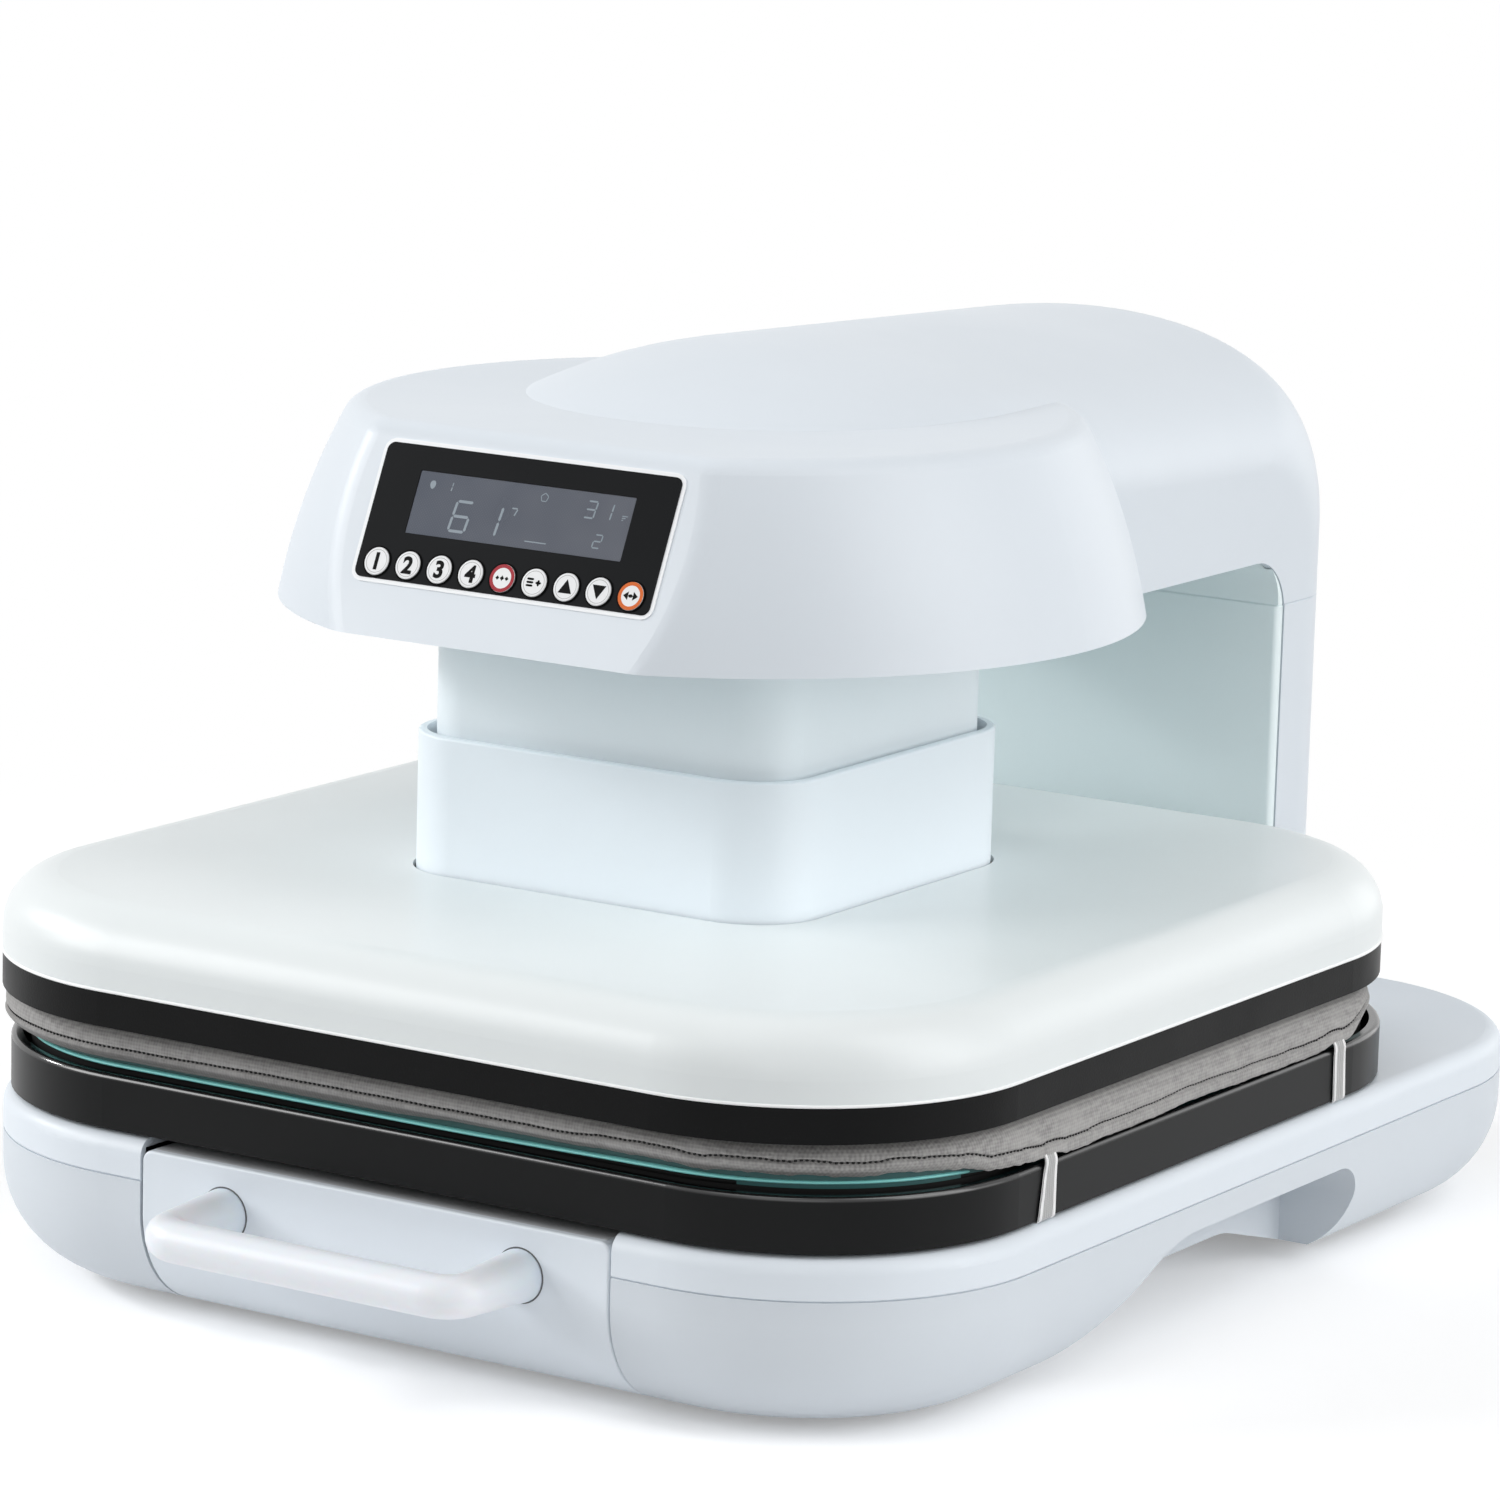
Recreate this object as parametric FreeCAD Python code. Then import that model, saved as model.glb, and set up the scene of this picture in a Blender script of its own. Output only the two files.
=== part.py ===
import FreeCAD, Part
import os
from math import asin, cos, hypot, pi, radians, sin, sqrt, tan
from FreeCAD import Placement, Rotation, Vector

os.makedirs("parts", exist_ok=True)

# Frame: millimetres, +Z up, -Y towards the user, X across the press.
# The origin is under the middle of the whole press, on the table.

# Base housing
base_width = 407.0
base_corner = 88.0
chin_radius = 38.0
deck_edge_radius = 6.0
pan_height = 48.5
deck_height = 63.0
shell_wall = 3.0
foot_gap = 3.0
foot_radius = 12.0
foot_stem_radius = 4.0
foot_stem_height = 7.0
foot_inset = 80.0
foot_spread = 140.0
handle_reach = 45.0

# Hand grips in the two long sides of the pan
grip_front_inset = 120.25
grip_length = 203.0
grip_flank = 67.0
grip_height = 39.0
grip_depth = 31.5
grip_foot_radius = 30.0
grip_front_radius = 60.0
grip_rear_radius = 14.0
arch_depth = 34.0
arch_height = 16.5
arch_flank = 60.0
arch_overrun = 17.0
arch_radius = 40.0

# Drawer front and its handle
panel_width = 192.8
panel_height = 60.0
panel_gap = 0.8
panel_return = 41.0
handle_spacing = 122.0
handle_bar_radius = 7.4
handle_bend = 9.0
handle_foot_radius = 9.2
handle_foot_edge = 0.5
handle_height = 43.0

# Drawer slides, in three telescoping members on each side
slide_height = 35.0
slide_depth = 12.7
slide_metal = 1.5
slide_play = 1.1
slide_length = 356.0
slide_inset = 48.25
slide_middle_height = 36.0

# Drawer carriage and what lies on it
carriage_metal = 2.0
carriage_low = 16.0
carriage_play = 0.3
tray_width = 400.0
tray_depth = 402.4
tray_corner = 84.0
tray_height = 19.05
tray_float = 1.15
tray_setback = 3.4
tray_front_gap = 2.45
tray_wall = 4.0
tray_floor = 2.5
tray_lip_radius = 1.8
board_gap = 3.0
board_height = 17.6
mat_height = 4.8
pad_height = 12.3
pad_inset = 1.6
soft_gap = 0.3
strap_width = 9.0
strap_metal = 0.75
strap_fore = 97.4
strap_aft = 108.6
spacer_radius = 9.0
spacer_spread_x = 66.0
spacer_spread_y = 130.0

# Platen
hot_plate_width = 381.0
hot_plate_depth = 389.7
hot_plate_height = 7.8
hot_plate_corner = 77.5
plate_play = 2.8
band_low = 104.7
band_height = 12.1
band_wall = 7.0
band_ledge = 12.0
cover_height = 27.7
cover_edge_radius = 19.0
cover_wall = 2.5
cover_gap = 1.2
element_radius = 4.0
element_rows = 6
element_margin = 55.0
insulation_height = 8.0
insulation_play = 8.0
pressure_plate_height = 6.0
cutout_radius = 9.0
cutout_height = 9.0
cutout_offset = 26.0
terminal_width = 6.0
terminal_metal = 0.8

# Telescoping skirts around the lifting gear
skirt_width = 162.5
skirt_corner = 26.0
skirt_wall = 3.0
skirt_top = 193.6
skirt_flange = 6.0
skirt_flange_height = 2.5
skirt_play = 3.5
inner_skirt_wall = 2.5
inner_skirt_low = 173.0
skirt_post_radius = 3.0
skirt_post_spread = 60.0

# Head and arm housing
housing_bottom = 239.0
head_radius = 153.5
head_lean = 10.5
head_side_radius = 234.0
head_top = 308.5
head_edge_radius = 9.0
face_edge_radius = 14.0
face_front = 140.5
face_lean = 24.3
arm_width = 220.0
arm_rear_setback = 3.5
crown_height = 327.3
crown_reach = 60.5
crown_fall = 0.0392
nose_radius = 280.0
nose_reach = 64.0
roll_height = 48.4
rear_bulge = 56.7
rear_arc_radius = 38.0
arm_slices = 12
housing_seam = 221.0

# Column and the inner panels of the throat
column_depth = 82.75
column_gap = 13.9
throat_round = 17.5
bead_depth = 3.7
groove_gap = 1.3
panel_edge_radius = 2.0
panel_corner = 4.0
tongue_depth = 10.0
tongue_wall = 2.0
panel_metal = 2.5
underside_play = 0.4

# Steel press frame
frame_metal = 6.0
frame_front_inset = 38.25
frame_rear_inset = 48.25
frame_column_depth = 30.0
frame_arm_low = 247.0
frame_arm_high = 279.0
frame_arm_reach = 70.0
frame_corner = 20.0
frame_outer_corner = 40.0
tie_height = 3.0
tie_inset = 78.25
column_web_metal = 4.0
column_web_top = 246.0
head_plate_low = 250.0
head_plate_height = 6.0
head_plate_fore = 72.0
head_plate_aft = 68.0

# Lifting gear
screw_radius = 7.0
screw_low = 172.0
journal_radius = 6.0
journal_play = 1.0
collar_radius = 12.0
collar_height = 3.0
bearing_radius = 16.0
bearing_height = 11.0
running_gap = 0.05
nut_radius = 11.0
nut_flange_radius = 18.0
nut_flange_height = 4.0
nut_height = 18.0
tower_radius = 15.0
tower_flange_radius = 26.0
tower_flange_height = 5.0
tower_top = 184.0
tower_bolt_radius = 2.0
bolt_head_spread = 1.9
bolt_head_rise = 1.3
post_radius = 6.0
post_spread = 52.0
post_top = 264.0
bush_radius = 9.0
bush_flange_radius = 12.0
bush_height = 14.0
bush_flange_height = 3.0
gearbox_width = 62.0
gearbox_height = 40.0
gearbox_edge = 6.0
motor_radius = 21.0
motor_length = 92.0
motor_collar = 6.0
motor_collar_step = 4.0
motor_rise = 2.0
switch_body_length = 20.0
switch_body_width = 6.0
switch_body_height = 11.0
switch_button_radius = 1.5
switch_button_height = 2.0

# Control panel on the leaning face
bezel_width = 121.0
bezel_height = 48.4
bezel_corner = 3.0
bezel_seat = 1.2
bezel_proud = 0.6
bezel_centre = 279.5
window_width = 88.6
window_height = 22.6
window_rise = 4.2
window_gap = 0.1
window_corner = 0.5
key_radius = 5.0
key_count = 9
key_pitch = 13.05
key_drop = 18.3
key_gap = 0.3
key_proud = 0.5
key_flange = 0.5
key_flange_height = 0.8
key_travel = 0.5
key_edge_radius = 0.4
board_width = 130.0
board_tall = 40.4
board_post_radius = 3.0
board_metal = 1.6
board_depth = 9.0
switch_size = 6.0
plunger_radius = 1.7
plunger_rise = 1.0
module_width = 98.0
module_tall = 27.0
module_depth = 5.4
module_corner = 1.5

# Mains inlet and power switch in the rear land of the column
land_width = 34.0
land_low = 74.0
land_high = 136.0
land_depth = 1.2
inlet_width = 27.0
inlet_tall = 20.0
inlet_height = 92.0
inlet_flange = 2.0
inlet_depth = 24.0
inlet_wall = 2.0
inlet_low_corner = 1.0
inlet_high_corner = 5.0
inlet_flange_corner = 1.5
pin_width = 2.0
pin_tall = 4.0
pin_length = 14.0
pin_spacing = 7.0
rocker_width = 12.6
rocker_tall = 19.0
rocker_height = 122.0
rocker_tilt = 8.0
rocker_gap = 0.3
rocker_pin_radius = 1.5
rocker_pin_length = 1.1
rocker_root = 3.0
rocker_edge_radius = 0.5
switch_wall = 1.7
switch_depth = 18.0

# Power board in the column
power_width = 150.0
power_tall = 84.0
power_low = 146.0
power_standoff = 6.0
standoff_radius = 3.0
standoff_inset = 6.0
transformer_width = 36.0
transformer_tall = 32.0
transformer_depth = 28.0
relay_width = 19.0
relay_tall = 24.0
relay_depth = 15.0
capacitor_radius = 8.0
capacitor_length = 22.0
sink_width = 36.0
sink_tall = 26.0
sink_depth = 16.0
sink_base = 4.0
sink_fin = 2.0
sink_fins = 5
component_margin = 10.0

# Screws under the pan and behind the handle, and vent slots in the pan
screw_shank_radius = 2.0
screw_head_radius = 4.0
screw_head_height = 1.6
screw_length = 9.0
screw_inset = 45.0
handle_screw_radius = 2.5
handle_screw_head = 5.0
handle_screw_head_height = 3.0
handle_screw_length = 18.0
vent_count = 7
vent_length = 60.0
vent_width = 4.0
vent_margin = 23.3
vent_inset = 153.25

# Allowances that keep cuts open and edges crisp
past = 1.0
touch = 0.01
seam_bevel = 0.7
small_bevel = 1.0

# Sizes that follow from the driving ones
base_depth = tray_front_gap + tray_depth + column_gap + column_depth
base_rear = (base_depth + handle_reach) / 2
base_front = base_rear - base_depth
press_y = base_front + tray_front_gap + tray_depth / 2 - tray_setback
throat_rear = base_rear - column_depth
grip_front = base_front + grip_front_inset
grip_rear = grip_front + grip_length
arch_rear = grip_rear + arch_overrun
pan_low = foot_gap
seam_z = pan_low + pan_height
deck_z = pan_low + deck_height
panel_top = pan_low + panel_height
bay_half = panel_width / 2 + panel_gap
tray_low = deck_z + tray_float
tray_high = tray_low + tray_height
tray_y = press_y + tray_setback
strap_front_place = tray_y - strap_fore
strap_rear_place = tray_y + strap_aft
slide_front = base_front + slide_inset
board_low = tray_low + tray_floor
mat_low = board_low + board_height
pad_low = mat_low + mat_height
carriage_half = bay_half - slide_depth - carriage_play
band_high = band_low + band_height
cover_top = band_high + cover_height
hot_plate_high = band_low + hot_plate_height
insulation_low = band_high
platen_width = hot_plate_width + 2 * (plate_play + band_wall)
platen_depth = hot_plate_depth + 2 * (plate_play + band_wall)
platen_corner = hot_plate_corner + plate_play + band_wall
pressure_plate_width = skirt_width
inner_skirt_width = skirt_width - 2 * (skirt_wall + skirt_play)
inner_skirt_corner = skirt_corner - skirt_wall - skirt_play
element_span = hot_plate_width - 2 * element_margin
element_pitch = (hot_plate_depth - 2 * element_margin) / (element_rows - 1)
pressure_low = insulation_low + insulation_height
pressure_high = pressure_low + pressure_plate_height
arm_rear = base_rear - arm_rear_setback
crown_place = press_y + crown_reach
nose_front = press_y - nose_reach
frame_outer = bay_half + frame_metal
frame_front = base_front + frame_front_inset
frame_rear = base_rear - frame_rear_inset
frame_arm_front = press_y - frame_arm_reach
tie_front = base_front + tie_inset
head_plate_front = press_y - head_plate_fore
head_plate_rear = press_y + head_plate_aft
vent_pitch = (base_width / 2 - vent_margin - frame_outer) / vent_count
vent_y = base_rear - vent_inset
head_plate_high = head_plate_low + head_plate_height
bearing_low = head_plate_low - bearing_height
face_slope = tan(radians(face_lean))
rear_y = arm_rear - land_depth


def xy(height):
    """Map outline corners onto the level at this height."""
    return lambda a, b: Vector(a, b, height)


def yz(place):
    """Map outline corners (y, z) onto the plane x = place."""
    return lambda a, b: Vector(place, a, b)


def xz(place):
    """Map outline corners (x, z) onto the plane y = place."""
    return lambda a, b: Vector(a, place, b)


def rounded_face(corners, radii, plane):
    """Flat face with its corners rounded; one radius, or one for each corner."""
    count = len(corners)
    if not isinstance(radii, (list, tuple)):
        radii = [radii] * count
    starts, middles, ends = [], [], []
    for i in range(count):
        here = Vector(corners[i][0], corners[i][1], 0)
        before = Vector(*corners[i - 1], 0)
        after = Vector(*corners[(i + 1) % count], 0)
        to_before = (before - here).normalize()
        to_after = (after - here).normalize()
        half = to_before.getAngle(to_after) / 2
        reach = radii[i] / tan(half)
        centre = here + (to_before + to_after).normalize() * (radii[i] / sin(half))
        starts.append(here + to_before * reach)
        ends.append(here + to_after * reach)
        inward = (here - centre).normalize() if radii[i] > 0 else Vector(0, 0, 0)
        middles.append(centre + inward * radii[i])
    edges = []
    for i in range(count):
        if radii[i] > 0:
            arc = [plane(p.x, p.y) for p in (starts[i], middles[i], ends[i])]
            edges.append(Part.Arc(*arc).toShape())
        follower = (i + 1) % count
        if (starts[follower] - ends[i]).Length > touch / 10:
            line = [plane(p.x, p.y) for p in (ends[i], starts[follower])]
            edges.append(Part.LineSegment(*line).toShape())
    return Part.Face(Part.Wire(edges))


def rounded_block(half_x, front, rear, corner, low, high):
    """Upright block with rounded vertical corners, centred on x = 0."""
    corners = [(-half_x, front), (half_x, front), (half_x, rear), (-half_x, rear)]
    return rounded_face(corners, corner, xy(low)).extrude(Vector(0, 0, high - low))


def box(x0, x1, y0, y1, z0, z1):
    """Plain block between two corners."""
    return Part.makeBox(x1 - x0, y1 - y0, z1 - z0, Vector(x0, y0, z0))


def disc(x, y, radius, low, high):
    """Upright round bar."""
    return Part.makeCylinder(radius, high - low, Vector(x, y, low))


def ring(x, y, outer, inner, low, high):
    """Upright tube."""
    return disc(x, y, outer, low, high).cut(disc(x, y, inner, low, high))


def prism(corners, radii, half_x):
    """Side profile given as (y, z) corners, extruded across the press."""
    return rounded_face(corners, radii, yz(-half_x)).extrude(Vector(2 * half_x, 0, 0))


def mirrored(shape):
    """The same shape on the other side of the plane x = 0."""
    return shape.mirror(Vector(0, 0, 0), Vector(1, 0, 0))


def both_sides(shape):
    """The shape and its mirror image, kept as two solids."""
    return Part.makeCompound([shape, mirrored(shape)])


def level_edges(shape, height):
    """Edges that lie wholly at one height."""
    return [e for e in shape.Edges
            if all(abs(v.Z - height) < touch for v in e.Vertexes)
            and abs(e.BoundBox.ZLength) < 2 * touch]


def fused(shapes):
    """One solid from several, without seams between flush faces."""
    whole = shapes[0].fuse(shapes[1:]) if len(shapes) > 1 else shapes[0]
    return whole.removeSplitter()


def save(name, shape):
    """Write one sub-part."""
    shape.exportStep("parts/" + name + ".step")


def base_form(inset, high):
    """Outer form of the base, with its rounded-under chin, shrunk by inset."""
    low = pan_low + inset
    block = rounded_block(base_width / 2 - inset, base_front + inset, base_rear - inset,
                          base_corner - inset, low, high)
    return block.makeFillet(chin_radius - inset, level_edges(block, low))


def grip_form(growth):
    """Hand grip on the right side, grown by the thickness of its wall."""
    high = pan_low + grip_height + growth
    rear = grip_rear + growth
    front = grip_front - growth
    low = pan_low - grip_depth
    corners = [(front - grip_flank, low), (front - grip_flank, pan_low), (front, pan_low),
               (front + grip_flank, high), (rear, high), (rear, low)]
    radii = [0, 0, grip_foot_radius, grip_front_radius, grip_rear_radius + growth, 0]
    face = rounded_face(corners, radii, yz(base_width / 2 - grip_depth - growth))
    return face.extrude(Vector(grip_depth + growth + chin_radius, 0, 0))


def arch_form(growth):
    """Low arch in the bottom that carries on inwards from the hand grip."""
    low = pan_low - grip_depth
    high = pan_low + arch_height + growth
    front = grip_front - growth
    rear = arch_rear + growth
    corners = [(front - arch_flank, low), (front - arch_flank, pan_low), (front, pan_low),
               (front + arch_flank, high), (rear - arch_flank, high), (rear, pan_low),
               (rear + arch_flank, pan_low), (rear + arch_flank, low)]
    radii = [0, 0, grip_foot_radius, arch_radius, arch_radius, grip_foot_radius, 0, 0]
    inner = base_width / 2 - grip_depth - arch_depth - growth
    return rounded_face(corners, radii, yz(inner)).extrude(Vector(arch_depth + grip_depth, 0, 0))


def bay_notch(low, high):
    """Gap in the front of the base where the drawer front sits."""
    return box(-bay_half, bay_half, base_front - past,
               base_front + panel_return + panel_gap, low, high)


def base_pan():
    """Lower pan with its hand grips, feet holes, vents and the bay for the drawer."""
    outer = base_form(0, seam_z)
    pan = outer.cut(base_form(shell_wall, seam_z + past))
    pocket = grip_form(0).fuse(arch_form(0))
    pocket_wall = grip_form(shell_wall).fuse(arch_form(shell_wall)).common(outer)
    pan = fused([pan, pocket_wall, mirrored(pocket_wall)])
    pan = pan.cut([pocket, mirrored(pocket), bay_notch(0, seam_z + past)])
    holes = [disc(x, y, foot_stem_radius, pan_low - past, pan_low + shell_wall + past)
             for x, y in foot_places()]
    holes += [disc(x, y, screw_shank_radius, pan_low - past, pan_low + shell_wall + past)
              for x, y in pan_screw_places()]
    return pan.cut(holes + vent_slots())


def foot_places():
    """Where the four feet stand."""
    front, rear = base_front + foot_inset, base_rear - foot_inset
    return [(x, y) for x in (-foot_spread, foot_spread) for y in (front, rear)]


def vent_slots():
    """Row of slots through the bottom, under the power board."""
    low, high = pan_low - past, pan_low + shell_wall + past
    first = -vent_pitch * (vent_count - 1) / 2
    slots = []
    for side in (-1, 1):
        middle = side * (frame_outer + vent_pitch * vent_count / 2)
        for i in range(vent_count):
            slot = rounded_block(vent_width / 2, vent_y, vent_y + vent_length,
                                 vent_width / 2 - window_gap, low, high)
            slot.translate(Vector(middle + first + vent_pitch * i, 0, 0))
            slots.append(slot)
    return slots


def pan_screw_places():
    """Screws that draw the pan up to the frame's base tie."""
    half = bay_half - foot_stem_radius - screw_head_radius
    return [(x, y) for x in (-half, half)
            for y in (tie_front + screw_inset, frame_rear - screw_inset)]


def pan_screws():
    """Flat-headed screws through the pan into the base tie."""
    screws = []
    for x, y in pan_screw_places():
        head = disc(x, y, screw_head_radius, pan_low - screw_head_height, pan_low)
        head = head.makeChamfer(screw_head_height / 2, level_edges(head, head.BoundBox.ZMin))
        shank = disc(x, y, screw_shank_radius, pan_low, pan_low + screw_length)
        screws.append(fused([head, shank]))
    return Part.makeCompound(screws)


def rubber_feet():
    """Four round feet, each with a stem pushed through the pan."""
    feet = []
    for x, y in foot_places():
        foot = disc(x, y, foot_radius, 0, foot_gap)
        foot = foot.makeChamfer(small_bevel, level_edges(foot, 0))
        feet.append(fused([foot, disc(x, y, foot_stem_radius, foot_gap, foot_stem_height)]))
    return Part.makeCompound(feet)


def base_cover():
    """Upper cover with the deck that the tray floats over."""
    outer = rounded_block(base_width / 2, base_front, base_rear, base_corner, seam_z, deck_z)
    outer = outer.makeFillet(deck_edge_radius, level_edges(outer, deck_z))
    outer = outer.makeChamfer(seam_bevel, level_edges(outer, seam_z))
    inner = rounded_block(base_width / 2 - shell_wall, base_front + shell_wall,
                          base_rear - shell_wall, base_corner - shell_wall,
                          seam_z - past, deck_z - shell_wall)
    slot_rear = slide_front + slide_length
    slot = box(-bay_half, bay_half, base_front - past, slot_rear, seam_z - past,
               deck_z + past)
    column_front = frame_rear - frame_column_depth
    leg_slot = box(bay_half - past, frame_outer + past, column_front - past,
                   frame_rear + past, seam_z - past, deck_z + past)
    return outer.cut([inner, slot, leg_slot, mirrored(leg_slot)])


def c_frame_plates():
    """Two C-shaped plates that carry the pressing force round the throat."""
    low = pan_low + shell_wall + tie_height
    high = deck_z - shell_wall
    column_front = frame_rear - frame_column_depth
    corners = [(frame_front, low), (frame_rear, low), (frame_rear, frame_arm_high),
               (frame_arm_front, frame_arm_high), (frame_arm_front, frame_arm_low),
               (column_front, frame_arm_low), (column_front, high), (frame_front, high)]
    radii = [0, 0, frame_outer_corner, frame_metal, frame_metal, frame_corner, 0, 0]
    plate = rounded_face(corners, radii, yz(bay_half)).extrude(Vector(frame_metal, 0, 0))
    return both_sides(plate)


def base_tie():
    """Plate across the bottom that joins the two side plates."""
    low = pan_low + shell_wall
    tie = box(-frame_outer, frame_outer, tie_front, frame_rear, low, low + tie_height)
    return tie.cut([disc(x, y, screw_shank_radius, low - past, low + tie_height + past)
                    for x, y in pan_screw_places()])


def column_web():
    """Plate between the two side plates in the column."""
    front = frame_rear - frame_column_depth
    return box(-bay_half, bay_half, front, front + column_web_metal, deck_z, column_web_top)


def post_places():
    """Where the four guide posts stand."""
    return [(x, press_y + y) for x in (-post_spread, post_spread)
            for y in (-post_spread, post_spread)]


def head_plate():
    """Thick plate in the head that holds the bushes, the bearing and the gearmotor."""
    corners = [(-bay_half, head_plate_front), (bay_half, head_plate_front),
               (bay_half, head_plate_rear), (-bay_half, head_plate_rear)]
    face = rounded_face(corners, [frame_metal, frame_metal, 0, 0], xy(head_plate_low))
    plate = face.extrude(Vector(0, 0, head_plate_height))
    low, high = head_plate_low - past, head_plate_high + past
    holes = [disc(x, y, bush_radius, low, high) for x, y in post_places()]
    holes.append(disc(0, press_y, journal_radius + journal_play, low, high))
    return plate.cut(holes)


def head_form(inset):
    """Round, leaning-sided head with its flat control face, shrunk by inset."""
    low = housing_bottom
    lean = radians(head_lean)
    centre_r = head_radius - head_side_radius * cos(lean)
    centre_z = low - head_side_radius * sin(lean)
    radius = head_side_radius - inset
    high = head_top - inset
    start, middle, end = [asin((z - centre_z) / radius) for z in (low, (low + high) / 2, high)]
    rim = [Vector(centre_r + radius * cos(a), 0, centre_z + radius * sin(a))
           for a in (start, middle, end)]
    edges = [Part.LineSegment(Vector(0, 0, low), rim[0]).toShape(),
             Part.Arc(*rim).toShape(),
             Part.LineSegment(rim[2], Vector(0, 0, high)).toShape(),
             Part.LineSegment(Vector(0, 0, high), Vector(0, 0, low)).toShape()]
    head = Part.Face(Part.Wire(edges)).revolve(Vector(0, 0, 0), Vector(0, 0, 1), 360)
    head.translate(Vector(0, press_y, 0))
    depth = head_radius
    cutter = Part.makeBox(4 * depth, 4 * depth, depth, Vector(-2 * depth, -2 * depth, 0))
    cutter.Placement = face_placement(-inset)
    head = head.cut(cutter)
    sides = [e for e in head.Edges if e.BoundBox.ZLength > head_edge_radius
             and e.BoundBox.YMax < press_y]
    head = head.makeFillet(face_edge_radius - inset, sides)
    return head.makeFillet(head_edge_radius - inset, level_edges(head, high))


def face_placement(offset):
    """Frame on the control face: x across, y up the slope, z out of the face."""
    lean = radians(face_lean)
    rise = (bezel_centre - housing_bottom) * tan(lean)
    centre = Vector(0, press_y - face_front + rise, bezel_centre)
    normal = Vector(0, -cos(lean), sin(lean))
    return Placement(centre + normal * offset, Rotation(Vector(1, 0, 0), 90 - face_lean))


def on_face(shape):
    """Move a shape modelled about the origin onto the control face."""
    placed = shape.copy()
    placed.Placement = face_placement(0).multiply(shape.Placement)
    return placed


def arm_slice(turn, inset, low):
    """Side outline of the arm at one place across it, given as a turn from the middle."""
    x = (arm_width / 2 - inset) * sin(turn)
    drop = (roll_height - inset / 2) * (1 - cos(turn)) + inset
    bulge = (rear_bulge - inset / 2) * (1 - cos(turn)) + inset
    fall = crown_fall
    arc_radius = rear_arc_radius - inset
    rear = arm_rear - bulge
    arc_y = rear - arc_radius
    slope = sqrt(1 + fall * fall)

    def crown(y):
        return crown_height - drop - fall * (y - crown_place)

    arc_z = crown(arc_y) - arc_radius * slope
    turn_out = Vector(0, arc_y + arc_radius * fall / slope, arc_z + arc_radius / slope)
    half = (pi / 2 - asin(fall / slope)) / 2
    arc_mid = Vector(0, arc_y + arc_radius * cos(half), arc_z + arc_radius * sin(half))
    arc_end = Vector(0, rear, arc_z)
    join = Vector(0, crown_place, crown(crown_place))
    reach = crown_place - nose_front - inset
    nose_y = nose_front + inset

    def nose(y):
        back = crown_place - y
        return crown(y) - back * back / (2 * nose_radius)

    nose_mid = Vector(0, crown_place - reach / 2, nose(crown_place - reach / 2))
    nose_end = Vector(0, nose_y, nose(nose_y))
    foot_front = Vector(0, nose_y, low)
    foot_rear = Vector(0, rear, low)
    edges = [Part.Arc(nose_end, nose_mid, join).toShape(),
             Part.LineSegment(join, turn_out).toShape(),
             Part.Arc(turn_out, arc_mid, arc_end).toShape(),
             Part.LineSegment(arc_end, foot_rear).toShape(),
             Part.LineSegment(foot_rear, foot_front).toShape(),
             Part.LineSegment(foot_front, nose_end).toShape()]
    wire = Part.Wire(edges)
    wire.translate(Vector(x, 0, 0))
    return wire


def arm_form(inset, low):
    """Arm with its rolled top edges and bowed rear, lofted across its slices."""
    turns = [-pi / 2 + pi * i / arm_slices for i in range(arm_slices + 1)]
    return Part.makeLoft([arm_slice(t, inset, low) for t in turns], True, False)


def throat_cut(rear, radius):
    """What the throat takes out of the arm: everything below its underside."""
    far = arm_rear + base_depth
    corners = [(-far, housing_bottom), (rear, housing_bottom), (rear, 0), (-far, 0)]
    return prism(corners, [0, radius, 0, 0], far)


def arm_shell():
    """Head and arm in one moulding, open below and seamed to the column."""
    outer = head_form(0).fuse(arm_form(0, housing_seam)).removeSplitter()
    inner = head_form(shell_wall).fuse(arm_form(shell_wall, housing_seam - shell_wall))
    shell = outer.cut(inner)
    opening = throat_rear + bead_depth + groove_gap
    shell = shell.cut(throat_cut(opening, throat_round + bead_depth + groove_gap))
    seat = face_plate(bezel_width + 2 * window_gap, bezel_height + 2 * window_gap,
                      bezel_corner, -bezel_seat, shell_wall)
    window = face_plate(bezel_width - bezel_corner, bezel_height, small_bevel,
                        -2 * shell_wall, shell_wall)
    shell = shell.cut([on_face(seat), on_face(window)])
    posts = [board_post(x, y) for x in (-1, 1) for y in (-1, 1)]
    return fused([shell] + posts)


def board_post(side, level):
    """Moulded post behind the control face that the key board screws to."""
    x = side * (board_width / 2 - board_post_radius)
    y = level * (board_tall / 2 - board_post_radius)
    post = Part.makeCylinder(board_post_radius, board_depth - board_metal - shell_wall / 2,
                             Vector(x, y, board_metal - board_depth))
    return on_face(post)


def face_plate(width, height, corner, low, high):
    """Plate modelled about the origin, to be set on the control face."""
    corners = [(-width / 2, -height / 2), (width / 2, -height / 2),
               (width / 2, height / 2), (-width / 2, height / 2)]
    return rounded_face(corners, corner, xy(low)).extrude(Vector(0, 0, high - low))


def key_places():
    """Where the keys sit in their row on the control face."""
    first = -key_pitch * (key_count - 1) / 2
    return [(first + key_pitch * i, -key_drop) for i in range(key_count)]


def control_bezel():
    """Flat bezel let into the control face, with the window and the key holes."""
    low, high = -bezel_seat - past, bezel_proud + past
    plate = face_plate(bezel_width, bezel_height, bezel_corner, -bezel_seat, bezel_proud)
    window = face_plate(window_width, window_height, window_corner, low, high)
    window.translate(Vector(0, window_rise, 0))
    holes = [disc(x, y, key_radius + key_gap, low, high) for x, y in key_places()]
    return on_face(plate.cut([window] + holes))


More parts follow.
